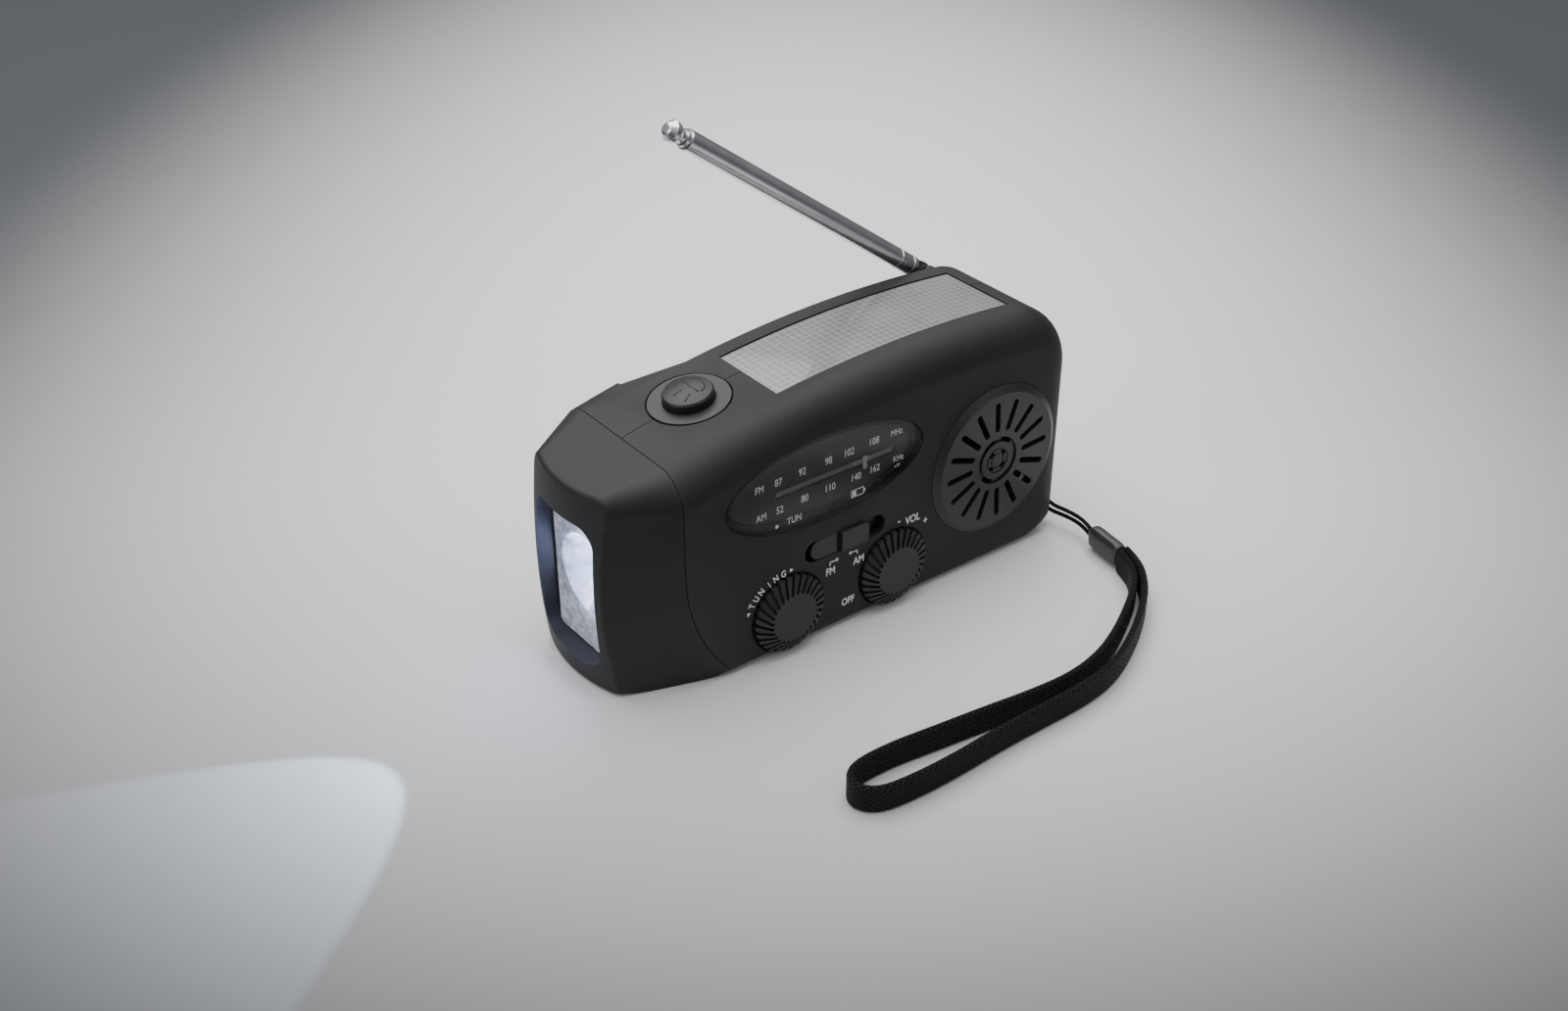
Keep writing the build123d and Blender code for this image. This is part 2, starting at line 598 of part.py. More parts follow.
def band_slider():
    """A low half and a raised half with an index groove between them."""
    height = BAND_HEIGHT - 0.4
    split = BAND_CAP_X + 0.47 * BAND_CAP
    inner = FRONT + WALL + 0.2
    low = Pos(BAND_CAP_X + BAND_CAP / 2, BAND_Z) * SlotOverall(BAND_CAP, height)
    cap = plate_xz(low, FRONT + 0.15, inner)
    raised = Pos((split + BAND_CAP_X + BAND_CAP) / 2, BAND_Z) * Rectangle(
        BAND_CAP_X + BAND_CAP - split - 1.0, height)
    raised = fillet(raised.vertices().sort_by(Axis.X)[-2:], BAND_CORNER)
    cap = cap + plate_xz(raised, FRONT - 0.75, FRONT + 1)
    cap = cap - box(split - 0.25, split + 0.25, FRONT - 1, FRONT + 0.7, 0, FAR)
    flange = box(BAND_X - 15.2, BAND_X + 11.2, inner, inner + 0.8, BAND_Z - 4, BAND_Z + 4)
    stem = box(BAND_CAP_X + 7.2, BAND_CAP_X + 9.2, inner, inner + 3.4, BAND_Z - 1, BAND_Z + 1)
    return one(cap + flange + stem)


def band_switch():
    y0 = FRONT + WALL + 1.3
    stem_x = BAND_CAP_X + 8.2
    body = box(BAND_X - 11, BAND_X + 11, y0, BOARD_Y0 - 0.05, BAND_Z - 3.6, BAND_Z + 3.6)
    return body - box(stem_x - 1.6, stem_x + BAND_TRAVEL + 1.6, y0 - 1, y0 + 3.4,
                      BAND_Z - 1.4, BAND_Z + 1.4)


def button_ring():
    ring = rod_z(0, 0, -1.25, 0.05, BUTTON_RING) - rod_z(0, 0, -3, 3, BUTTON_DOME + 0.2)
    return BUTTON * ring


def torch_button():
    """A low domed cap, a flange that keeps it in and a plunger."""
    crown = BUTTON_RISE - BUTTON_SIDE
    sphere = (BUTTON_DOME ** 2 + crown ** 2) / (2 * crown)
    dome = Pos(0, 0, BUTTON_RISE - sphere) * Sphere(sphere)
    cap = one(rod_z(0, 0, -1.6, BUTTON_RISE + 1, BUTTON_DOME) & dome)
    rims = [e for e in cap.edges().filter_by(GeomType.CIRCLE)
            if abs(e.radius - BUTTON_DOME) < 0.01 and e.center().Z > 0]
    cap = chamfer(rims, 0.35)
    flange = rod_z(0, 0, -2.4, -1.45, BUTTON_DOME + 0.8)
    plunger = rod_z(0, 0, -9.0, -2.3, 1.6)
    return BUTTON * one(cap + flange + plunger)


def torch_switch():
    """The switch under the button, on a bracket from the main board."""
    body = BUTTON * (Pos(0, 0, -10.5) * Box(9, 9, 5.4) - rod_z(0, 0, -11.2, 0, 1.9))
    arm = box(BUTTON_X - 3, BUTTON_X + 3, BOARD_Y1 + 0.05, -3.8, 40.5, 43.5)
    return one(body + arm)


# ---- Speaker ----
def ring_sketch(radius, width):
    return Circle(radius + width / 2) - Circle(radius - width / 2)


def grille_holes(radius, width, sweep, angles):
    """Arc slots on one circle, centred on the given angles."""
    reach = 2 * (radius + width)
    rise = reach * tan(radians(sweep / 2))
    wedge = make_face(Polyline((0, 0), (reach, -rise), (reach, rise), close=True))
    return [Rot(Z=angle) * (ring_sketch(radius, width) & wedge) for angle in angles]


def speaker_grille():
    face = FRONT - GRILLE_PROUD
    back = FRONT + 0.85
    disc = spun([(0, back), (GRILLE_RADIUS - 0.05, back), (GRILLE_RADIUS - 0.05, FRONT - 0.1),
                 (GRILLE_FLAT, face), (0, face)], SPEAKER_X, SPEAKER_Z)
    long = SLOT_OUTER - SLOT_INNER
    cuts = []
    for i in range(GRILLE_SLOTS):
        turn = GRILLE_PHASE + 360 * i / GRILLE_SLOTS
        cuts.append(Rot(Z=turn) * Pos((SLOT_INNER + SLOT_OUTER) / 2, 0)
                    * SlotOverall(long, SLOT_WIDTH))
    cuts += grille_holes(5.4, 1.25, 38, (60, 120, 240, 300))
    cuts += grille_holes(2.5, 0.95, 36, (45, 135, 225, 315))
    for cut in cuts:
        disc = disc - plate_xz(Pos(SPEAKER_X, SPEAKER_Z) * cut, face - 1, back + 1)
    for radius, width, depth in ((5.4, 1.1, 0.45), (3.1, 0.35, 0.2), (1.85, 0.35, 0.2)):
        groove = Pos(SPEAKER_X, SPEAKER_Z) * ring_sketch(radius, width)
        disc = disc - plate_xz(groove, face - 1, face + depth)
    return one(disc)


def speaker_frame():
    y0 = FRONT + WALL + 0.1
    return spun([(16.6, y0), (17.9, y0), (17.9, y0 + 1.2), (17.0, y0 + 1.2), (11, y0 + 7.4),
                 (0, y0 + 7.4), (0, y0 + 6.6), (10.4, y0 + 6.6)], SPEAKER_X, SPEAKER_Z)


def speaker_cone():
    y0 = FRONT + WALL + 0.3
    return spun([(15.4, y0), (15.4, y0 + 0.4), (5, y0 + 4.8), (0, y0 + 4.8), (0, y0 + 4.4),
                 (4.8, y0 + 4.4), (14.8, y0)], SPEAKER_X, SPEAKER_Z)


def speaker_magnet():
    y0 = FRONT + WALL + 7.55
    return rod_y(SPEAKER_X, SPEAKER_Z, y0, y0 + 6, 10)


# ---- Solar panel ----
def solar_cover():
    return arch_slab(PANEL_X0, PANEL_X1, PANEL_Y0, PANEL_Y1, PANEL_SUNK,
                     PANEL_SUNK + COVER_THICK)


def solar_cell():
    top = PANEL_SUNK + COVER_THICK + 0.1
    return arch_slab(PANEL_X0 + 1, PANEL_X1 - 1, PANEL_Y0 + 1, PANEL_Y1 - 1, top,
                     top + CELL_THICK)


# ---- Antenna ----
def antenna_bracket():
    """A fork screwed into the rebate."""
    floor = REBATE_Z - BRACKET_DROP + 0.05
    root_top = PIVOT_Z - CAP_RADIUS - 0.35
    root = box(PIVOT_X - 5, PIVOT_X + 9, PIVOT_Y - 2.3, PIVOT_Y + 2.3, floor, root_top)
    solid = root
    for y0 in (PIVOT_Y - 2.3, PIVOT_Y + 1.1):
        ear = rod_y(PIVOT_X, PIVOT_Z, y0, y0 + 1.2, 2.4)
        solid = solid + ear + box(PIVOT_X - 2.4, PIVOT_X + 2.4, y0, y0 + 1.2, floor, PIVOT_Z)
    slot = rod_y(PIVOT_X, PIVOT_Z, PIVOT_Y - 1.1, PIVOT_Y + 1.1, 2.6)
    solid = solid - slot - rod_y(PIVOT_X, PIVOT_Z, 0, 30, 0.8 + STILL_FIT)
    solid = solid - rod_z(PIVOT_X + 7, PIVOT_Y, 0, FAR, 1.0 + STILL_FIT)
    return one(solid - rod_z(PIVOT_X + 7, PIVOT_Y, root_top - 1.1, FAR, 1.9))


def antenna_screw():
    top = PIVOT_Z - CAP_RADIUS - 0.4
    head = rod_z(PIVOT_X + 7, PIVOT_Y, top - 0.95, top, 1.8)
    slot = box(PIVOT_X + 5, PIVOT_X + 9, PIVOT_Y - 0.25, PIVOT_Y + 0.25, top - 0.5, FAR)
    shank = rod_z(PIVOT_X + 7, PIVOT_Y, REBATE_Z - 7, top - 0.5, 1.0)
    return one(head + shank - slot)


def antenna_pin():
    return rod_y(PIVOT_X, PIVOT_Z, PIVOT_Y - 2.4, PIVOT_Y + 2.4, 0.8)


def antenna_tube():
    """The outer tube, crimped onto a flat tongue."""
    outer = rod_z(0, 0, TUBE_START, TUBE_END, TUBE_RADII[0])
    outer = outer - rod_z(0, 0, TUBE_START + 2, FAR, TUBE_RADII[1] + TUBE_CLEAR)
    tongue = box(-2.1, 2.1, -1.0, 1.0, 0, TUBE_START + 1) + rod_y(0, 0, -1.0, 1.0, 2.1)
    for z in (TUBE_START + 1.3, TUBE_START + 5.9):
        groove = rod_z(0, 0, z, z + 0.5, TUBE_RADII[0] + 1) \
            - rod_z(0, 0, z - 1, z + 2, TUBE_RADII[0] - 0.12)
        outer = outer - groove
    solid = outer + tongue - rod_y(0, 0, -3, 3, 0.8 + RUN_FIT)
    return ANTENNA * one(solid)


def antenna_section(level):
    """One drawn section, closed at its inner end, with a rolled collar at its outer end."""
    radius = TUBE_RADII[level]
    low = TUBE_START + 2.4 + 1.2 * level
    high = TUBE_END + TUBE_STEP * level
    solid = rod_z(0, 0, low, high, radius)
    if level < len(TUBE_RADII) - 1:
        solid = solid - rod_z(0, 0, low + 0.8, FAR, TUBE_RADII[level + 1] + TUBE_CLEAR)
        return ANTENNA * one(solid)
    tip = spun([(0, high - 0.2), (1.2, high - 0.2), (1.2, CAP_END - 3.6), (2.0, CAP_END - 3.4),
                (CAP_RADIUS, CAP_END - 2.4), (CAP_RADIUS, CAP_END - 1.3),
                (1.5, CAP_END - 0.2), (0.9, CAP_END), (0, CAP_END)], 0, 0)
    return ANTENNA * one(solid + Rot(X=90) * tip)


# ---- Crank, gears and generator ----
def polar(x, z, reach, angle):
    return x + reach * cos(radians(angle)), z + reach * sin(radians(angle))


def idler_at():
    reach = GEAR_MODULE * (CRANK_TEETH + PINION_TEETH) / 2 + GEAR_SLACK
    return polar(HUB_X, HUB_Z, reach, IDLER_ANGLE)


def rotor_at():
    reach = GEAR_MODULE * (WHEEL_TEETH + ROTOR_TEETH) / 2 + GEAR_SLACK
    return polar(*idler_at(), reach, ROTOR_ANGLE)


def gear(at, teeth, y0, y1, bore, aim):
    """A spur gear about an axis along Y; one tooth points along the angle aim."""
    pitch = GEAR_MODULE * teeth / 2
    root, tip = pitch - 1.15 * GEAR_MODULE, pitch + 0.85 * GEAR_MODULE
    half_root, half_tip = 0.9 * GEAR_MODULE, 0.32 * GEAR_MODULE
    points = []
    for i in range(teeth):
        angle = aim + 360 * i / teeth
        for radius, side in ((root, -half_root), (tip, -half_tip), (tip, half_tip),
                             (root, half_root)):
            points.append(polar(0, 0, radius, angle + degrees(side / radius)))
    outline = make_face(Polyline(*points, close=True)) - Circle(bore)
    return plate_xz(Pos(*at) * outline, y0, y1)


CRANK_GEAR_Y = (12.2, 12.2 + GEAR_THICK)
WHEEL_Y = (8.4, 8.4 + GEAR_THICK)


def crank_gear():
    disc = gear((HUB_X, HUB_Z), CRANK_TEETH, *CRANK_GEAR_Y, CRANK_SHAFT_RADIUS + STILL_FIT,
                IDLER_ANGLE)
    return disc


def idler_gear():
    x, z = idler_at()
    bore = AXLE_RADIUS + RUN_FIT
    pinion = gear((x, z), PINION_TEETH, WHEEL_Y[1] - 0.2, CRANK_GEAR_Y[1], bore,
                  IDLER_ANGLE + 180 + 180 / PINION_TEETH)
    wheel = gear((x, z), WHEEL_TEETH, *WHEEL_Y, bore, ROTOR_ANGLE)
    hub = rod_y(x, z, PLATE_Y1 + 0.2, WHEEL_Y[0] + 0.2, 3) - rod_y(x, z, 0, 30, bore)
    return one(pinion + wheel + hub)


def rotor_pinion():
    return gear(rotor_at(), ROTOR_TEETH, *WHEEL_Y, AXLE_RADIUS + STILL_FIT,
                ROTOR_ANGLE + 180 + 180 / ROTOR_TEETH)


def idler_axle():
    return rod_y(*idler_at(), PLATE_Y0, WELL_FLOOR - 1.3, AXLE_RADIUS)


def crank_shaft():
    return rod_y(HUB_X, HUB_Z, PLATE_Y0, ARM_BACK - 0.9, CRANK_SHAFT_RADIUS)


def gear_plate():
    """The plate that carries the gear axles and the generator, on three posts."""
    solid = box(-42, 28, PLATE_Y0, PLATE_Y1, 4, 45.5) - seam_side(2.5)
    for x, z in ((-35, 40), (25, 43), (25, 10)):
        solid = solid + rod_y(x, z, PLATE_Y1 - 0.2, WELL_FLOOR - WALL - 0.1, 2.4)
    solid = solid - rod_y(HUB_X, HUB_Z, 0, 30, CRANK_SHAFT_RADIUS + RUN_FIT)
    solid = solid - rod_y(*idler_at(), 0, 30, AXLE_RADIUS + STILL_FIT)
    solid = solid - rod_y(*rotor_at(), 0, 30, AXLE_RADIUS + RUN_FIT)
    for x, z in SCREWS:
        solid = solid - rod_y(x, z, 0, 30, BOSS_RADIUS + 0.4)
    return one(solid)


def generator_case():
    x, z = rotor_at()
    y1 = PLATE_Y0 - 0.1
    shell = rod_y(x, z, GENERATOR_FRONT, y1, GENERATOR_RADIUS)
    return one(shell - rod_y(x, z, GENERATOR_FRONT + 1, FAR / 4, GENERATOR_RADIUS - 0.9))


def generator_stator():
    x, z = rotor_at()
    y0, y1 = GENERATOR_FRONT + 1.1, PLATE_Y0 - 0.3
    ring = rod_y(x, z, y0, y1, GENERATOR_RADIUS - 1.0) - rod_y(x, z, y0 - 1, y1 + 1, 7.2)
    return ring


def generator_rotor():
    x, z = rotor_at()
    magnet = rod_y(x, z, GENERATOR_FRONT + 2, PLATE_Y0 - 1.2, 6.7)
    return one(magnet + rod_y(x, z, GENERATOR_FRONT + 1.2, WHEEL_Y[1] + 0.6, AXLE_RADIUS))


def crank_arm():
    """A flat arm with a window for the folded grip."""
    end_x = HUB_X - ARM_REACH + ARM_WIDTH / 2
    shape = Pos((HUB_X + end_x) / 2, HUB_Z) * SlotCenterToCenter(HUB_X - end_x, ARM_WIDTH)
    solid = plate_xz(shape + Pos(HUB_X, HUB_Z) * Circle(9.0), ARM_FRONT, ARM_BACK)
    solid = solid - grip_window()
    solid = solid - rod_y(HUB_X, HUB_Z, 0, ARM_BACK - 0.8, CRANK_SHAFT_RADIUS + STILL_FIT)
    x, y = grip_pivot()
    solid = solid - rod_z(x, y, HUB_Z - ARM_WIDTH / 2 + 0.6, HUB_Z + ARM_WIDTH / 2 - 0.6,
                          0.8 + STILL_FIT)
    rim = solid.edges().filter_by(Plane.XZ).group_by(Axis.Y)[-1]
    outer = [e for e in rim if e.length > 12 and abs(e.center().Z - HUB_Z) > 2]
    return one(chamfer(outer, 0.5)) if outer else one(solid)


def grip_pivot():
    """The grip's hinge, near the end of the arm and halfway through it."""
    return HUB_X - ARM_REACH + 5.2, (ARM_FRONT + ARM_BACK) / 2


def grip_window():
    x, _ = grip_pivot()
    half = GRIP_WIDTH / 2 + GRIP_GAP
    return box(x - GRIP_THICK / 2 - GRIP_GAP, x + GRIP_LENGTH + GRIP_GAP, ARM_FRONT - 1,
               ARM_BACK + 1, HUB_Z - half, HUB_Z + half)


def crank_grip():
    x, y = grip_pivot()
    half_t, half_w = GRIP_THICK / 2, GRIP_WIDTH / 2
    bar = box(x, x + GRIP_LENGTH, y - half_t, y + half_t, HUB_Z - half_w, HUB_Z + half_w)
    knuckle = rod_z(x, y, HUB_Z - half_w, HUB_Z + half_w, half_t)
    ends = bar.edges().filter_by(Axis.Y).group_by(Axis.X)[-1]
    bar = fillet(ends, 2.6)
    return one(bar + knuckle - rod_z(x, y, 0, FAR, 0.8 + RUN_FIT))


def grip_pin():
    x, y = grip_pivot()
    return rod_z(x, y, HUB_Z - ARM_WIDTH / 2 + 0.7, HUB_Z + ARM_WIDTH / 2 - 0.7, 0.8)


# ---- Boards, battery and port ----
def main_board():
    solid = box(-38, 17.5, BOARD_Y0, BOARD_Y1, 3, 48.5)
    for x, z in SCREWS:
        solid = solid - rod_y(x, z, -30, 0, BOSS_RADIUS + 0.4)
    return one(solid - seam_side(2.5))


def ferrite_rod():
    return rod_x(0, 50.6, -16, 26, 4.0)


def antenna_coil():
    return rod_x(0, 50.6, 4, 18, 5.0) - rod_x(0, 50.6, 0, 30, 4.05)


def battery_pack():
    ceiling = top_z(BATTERY_X1) - PANEL_DEPTH - WALL
    return rod_x(BATTERY_Y, ceiling - BATTERY_CLEAR - BATTERY_RADIUS, BATTERY_X0, BATTERY_X1,
                 BATTERY_RADIUS)


def charge_board():
    return box(RIGHT_X - 11, RIGHT_X - WALL - 0.2, PORT_Y - 5.5, PORT_Y + 5.5,
               PORT_Z - 2.8, PORT_Z - 1.5)


def charge_socket():
    shell = box(RIGHT_X - 7.2, RIGHT_X - 1.4, PORT_Y - 3.75, PORT_Y + 3.75,
                PORT_Z - 1.45, PORT_Z + 1.4)
    hollow = box(RIGHT_X - 6.6, RIGHT_X, PORT_Y - 3.4, PORT_Y + 3.4, PORT_Z - 1.1, PORT_Z + 1.1)
    tongue = box(RIGHT_X - 6.8, RIGHT_X - 2.2, PORT_Y - 2.6, PORT_Y + 2.6,
                 PORT_Z - 0.3, PORT_Z + 0.3)
    return one(shell - hollow + tongue)


def port_recess(grow):
    return box(RIGHT_X - 1.0, RIGHT_X + 1, PORT_Y - PORT_HALF_Y - grow,
               PORT_Y + PORT_HALF_Y + grow, PORT_Z - PORT_HALF_Z - grow,
               PORT_Z + PORT_HALF_Z + grow)


def port_cover():
    """A flap with a round hinge edge along its front side."""
    outer = RIGHT_X - PORT_COVER_SUNK
    hinge_y = PORT_Y - PORT_HALF_Y + PORT_COVER / 2
    flap = port_recess(0) & box(outer - PORT_COVER, outer, hinge_y, FAR, -FAR, FAR)
    barrel = rod_z(outer - PORT_COVER / 2, hinge_y, PORT_Z - PORT_HALF_Z, PORT_Z + PORT_HALF_Z,
                   PORT_COVER / 2)
    return flap + barrel


# ---- Strap ----
def lug_pin():
    return rod_y(LUG_X, LUG_Z, LUG_Y - 4.7, LUG_Y + 4.7, LUG_PIN)


# The webbing loop: out of the bead, round the far fold and back, in plan.
WEBBING = (
    (59.9, -45.8), (58.5, -50.3), (55.2, -54.9), (49.9, -59.2), (43.0, -63.4), (35.8, -67.4),
    (27.0, -71.0), (17.0, -72.7), (6.0, -71.9), (-6.0, -70.1), (-18.0, -68.6), (-29.5, -67.0),
    (-39.6, -67.2), (-43.2, -71.4), (-40.4, -76.3), (-31.5, -77.5), (-20.0, -77.6),
    (-8.0, -76.9), (4.0, -76.8), (16.0, -76.9), (25.5, -75.7), (33.0, -72.9), (41.0, -68.7),
    (48.3, -63.9), (54.6, -58.9), (60.4, -51.6), (62.0, -45.7))
# The string: from the bead round the lug pin and back.
STRING = (
    (62.8, -33.8, 4.3), (64.4, -29.8, 4.5), (64.2, -24.6, 4.7), (62.6, -19.6, 5.0),
    (63.9, -14.4, 6.2), (62.6, -10.8, 8.75), (58.5, -9.5, 8.7), (58.5, -8.9, 5.3),
    (62.6, -9.9, 4.8), (63.4, -14.4, 4.5), (61.9, -19.4, 3.7), (63.9, -24.6, 3.3),
    (64.1, -29.8, 3.1), (62.6, -33.8, 2.9))


def corner_radii(points):
    """0.45 of the shorter run over the tangent of half the turn, for each inner point."""
    radii = []
    for before, at, after in zip(points, points[1:], points[2:]):
        way_in, way_out = Vector(*at) - Vector(*before), Vector(*after) - Vector(*at)
        half_turn = radians(way_in.get_angle(way_out)) / 2
        radii.append(0.45 * min(way_in.length, way_out.length) / tan(half_turn))
    return radii


def strap_webbing():
    points = [(x, y, STRAP_WIDTH / 2) for x, y in WEBBING]
    radii = corner_radii(points)
    print("webbing radii", [round(r, 1) for r in radii])
    path = FilletPolyline(*points, radius=radii)
    start = Plane(points[0], z_dir=Vector(*points[1]) - Vector(*points[0]),
                  x_dir=(0, 0, 1))
    band = sweep(start * Rectangle(STRAP_WIDTH, STRAP_THICK), path=path)
    print("webbing length", round(path.length, 1), "volume share",
          round(band.volume / (path.length * STRAP_WIDTH * STRAP_THICK), 3))
    return band


def strap_string():
    radii = corner_radii(STRING)
    print("string radii", [round(r, 1) for r in radii])
    path = FilletPolyline(*STRING, radius=radii)
    start = Plane(STRING[0], z_dir=Vector(*STRING[1]) - Vector(*STRING[0]))
    cord = sweep(start * Circle(STRING_RADIUS), path=path)
    print("string length", round(path.length, 1), "volume share",
          round(cord.volume / (path.length * pi * STRING_RADIUS ** 2), 3))
    return cord


def strap_bead():
    solid = Box(*BEAD)
    solid = fillet(solid.edges().filter_by(Axis.Y), 1.2)
    return Location(BEAD_AT) * Rot(Z=BEAD_TURN) * solid


NODES = {
    "front_shell": front_shell,
    "rear_shell": rear_shell,
    "torch_head": torch_head,
    "case_screws": case_screws,
    "torch_lens": torch_lens,
    "torch_reflector": torch_reflector,
    "torch_led": torch_led,
    "led_board": led_board,
    "dial_lens": dial_lens,
    "dial_plate": dial_plate,
    "dial_pointer": dial_pointer,
    "pointer_rail": pointer_rail,
    "tuning_knob": lambda: knob(TUNING_X),
    "volume_knob": lambda: knob(VOLUME_X),
    "tuning_shaft": lambda: knob_shaft(TUNING_X),
    "volume_shaft": lambda: knob_shaft(VOLUME_X),
    "tuning_capacitor": tuning_capacitor,
    "volume_control": volume_control,
    "band_slider": band_slider,
    "band_switch": band_switch,
    "button_ring": button_ring,
    "torch_button": torch_button,
    "torch_switch": torch_switch,
    "speaker_grille": speaker_grille,
    "speaker_frame": speaker_frame,
    "speaker_cone": speaker_cone,
    "speaker_magnet": speaker_magnet,
    "solar_cover": solar_cover,
    "solar_cell": solar_cell,
    "antenna_bracket": antenna_bracket,
    "antenna_screw": antenna_screw,
    "antenna_pin": antenna_pin,
    "antenna_tube": antenna_tube,
    "antenna_section_2": lambda: antenna_section(1),
    "antenna_section_3": lambda: antenna_section(2),
    "antenna_rod": lambda: antenna_section(3),
    "crank_arm": crank_arm,
    "crank_grip": crank_grip,
    "grip_pin": grip_pin,
    "crank_shaft": crank_shaft,
    "crank_gear": crank_gear,
    "idler_gear": idler_gear,
    "idler_axle": idler_axle,
    "rotor_pinion": rotor_pinion,
    "gear_plate": gear_plate,
    "generator_case": generator_case,
    "generator_stator": generator_stator,
    "generator_rotor": generator_rotor,
    "main_board": main_board,
    "ferrite_rod": ferrite_rod,
    "antenna_coil": antenna_coil,
    "battery_pack": battery_pack,
    "charge_board": charge_board,
    "charge_socket": charge_socket,
    "port_cover": port_cover,
    "lug_pin": lug_pin,
    "strap_webbing": strap_webbing,
    "strap_string": strap_string,
    "strap_bead": strap_bead,
}

os.makedirs("parts", exist_ok=True)
for name, make in NODES.items():
    export_step(make(), f"parts/{name}.step")
    print("wrote", name)
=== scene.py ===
import bpy
import bmesh
import json
from math import atan2, cos, pi, radians, sin, sqrt
from mathutils import Matrix, Vector


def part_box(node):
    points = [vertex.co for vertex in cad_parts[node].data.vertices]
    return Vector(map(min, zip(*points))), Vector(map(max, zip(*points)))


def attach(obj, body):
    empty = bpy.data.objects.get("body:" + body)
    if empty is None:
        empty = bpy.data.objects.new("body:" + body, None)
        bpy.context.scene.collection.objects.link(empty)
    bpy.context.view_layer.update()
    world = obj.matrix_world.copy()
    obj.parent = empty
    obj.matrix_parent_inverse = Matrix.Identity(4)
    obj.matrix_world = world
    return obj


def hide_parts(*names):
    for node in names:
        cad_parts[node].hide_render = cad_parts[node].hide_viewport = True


# Looks of the hand-crank emergency radio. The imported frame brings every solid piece. This script
# gives each its material, makes the strap, the twine, the bead, the print and the raised sign on
# the torch button, and sets the camera, the floor and the lights.

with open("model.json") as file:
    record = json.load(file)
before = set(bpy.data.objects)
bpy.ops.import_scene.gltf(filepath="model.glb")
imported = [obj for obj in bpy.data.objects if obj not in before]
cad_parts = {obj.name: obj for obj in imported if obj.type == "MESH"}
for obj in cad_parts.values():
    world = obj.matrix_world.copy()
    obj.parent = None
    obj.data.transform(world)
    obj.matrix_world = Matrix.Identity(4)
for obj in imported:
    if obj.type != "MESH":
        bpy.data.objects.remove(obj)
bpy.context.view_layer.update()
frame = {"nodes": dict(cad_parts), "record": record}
NODES = frame["nodes"]
RECORD = frame["record"]
MM = 0.001


def middle(node):
    """The centre of a node's box."""
    low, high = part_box(node)
    return (low + high) / 2


def joint_axis(name):
    """The direction of a joint's axis, as the record gives it."""
    return next(j["axis"] for j in RECORD["behaviour"]["joints"] if j["name"] == name)


def placed(name, data):
    """A new object in the scene, for a mesh, a curve, a camera or a light."""
    obj = bpy.data.objects.new(name, data)
    bpy.context.scene.collection.objects.link(obj)
    return obj


def aim(obj, place, direction):
    """Put a camera or a light at a place, looking along a direction."""
    obj.location = place
    obj.rotation_mode = "QUATERNION"
    obj.rotation_quaternion = direction.to_track_quat("-Z", "Y")


# ---------------------------------------------------------------- camera
CAMERA_AZIMUTH, CAMERA_ELEVATION, CAMERA_ROLL = -37.456, 32.352, 0.051      # degrees
CAMERA_AT = Vector((-226.96, -289.71, 251.84)) * MM
FOCAL_LENGTH, SENSOR_WIDTH = 43.09, 36.0                                    # mm
CLIP_START = 0.01


def back_vector(azimuth, elevation):
    """The direction from the object back to a camera at these angles."""
    a, e = radians(azimuth), radians(elevation)
    return Vector((sin(a) * cos(e), -cos(a) * cos(e), sin(e)))


camera_data = bpy.data.cameras.new("camera")
camera_data.sensor_width = SENSOR_WIDTH
camera_data.lens = FOCAL_LENGTH
camera_data.clip_start = CLIP_START
camera = placed("camera", camera_data)
aim(camera, CAMERA_AT, -back_vector(CAMERA_AZIMUTH, CAMERA_ELEVATION))
roll = Matrix.Rotation(radians(CAMERA_ROLL), 3, "Z").to_quaternion()
camera.rotation_quaternion = camera.rotation_quaternion @ roll
bpy.context.scene.camera = camera


# ---------------------------------------------------------------- objects from meshes
def add(name, mesh, body, material=None, smooth=True):
    """A piece made here, which rides on a body of the frame."""
    obj = placed(name, mesh)
    if material is not None:
        mesh.materials.clear()
        mesh.materials.append(material)
    if smooth:
        mesh.shade_smooth()
    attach(obj, body)
    return obj


def closed(name, mesh):
    """Mesh data from a finished bmesh, with its faces turned outward."""
    bmesh.ops.recalc_face_normals(mesh, faces=mesh.faces)
    data = bpy.data.meshes.new(name)
    mesh.to_mesh(data)
    mesh.free()
    return data


def nurbs(name, points):
    """A NURBS curve through the region of its control points, in millimetres."""
    curve = bpy.data.curves.new(name, "CURVE")
    curve.dimensions = "3D"
    curve.resolution_u = 10
    spline = curve.splines.new("NURBS")
    spline.points.add(len(points) - 1)
    for point, place in zip(spline.points, points):
        point.co = (*[c * MM for c in place], 1.0)
    spline.order_u = 3
    spline.use_endpoint_u = True
    return curve


def curve_line(curve):
    """The points of a curve that has no bevel, in order."""
    probe = placed("probe", curve)
    mesh = bpy.data.meshes.new_from_object(probe)
    line = [v.co.copy() for v in mesh.vertices]
    bpy.data.objects.remove(probe)
    bpy.data.meshes.remove(mesh)
    return line


def evenly(line, step):
    """Points at equal steps along a line, and the line's length."""
    reach = [0.0]
    for a, b in zip(line, line[1:]):
        reach.append(reach[-1] + (b - a).length)
    count = max(2, round(reach[-1] / step))
    out, i = [], 0
    for k in range(count + 1):
        want = reach[-1] * k / count
        while i < len(line) - 2 and reach[i + 1] < want:
            i += 1
        share = (want - reach[i]) / max(reach[i + 1] - reach[i], 1e-12)
        out.append(line[i].lerp(line[i + 1], min(max(share, 0), 1)))
    return out, reach[-1]


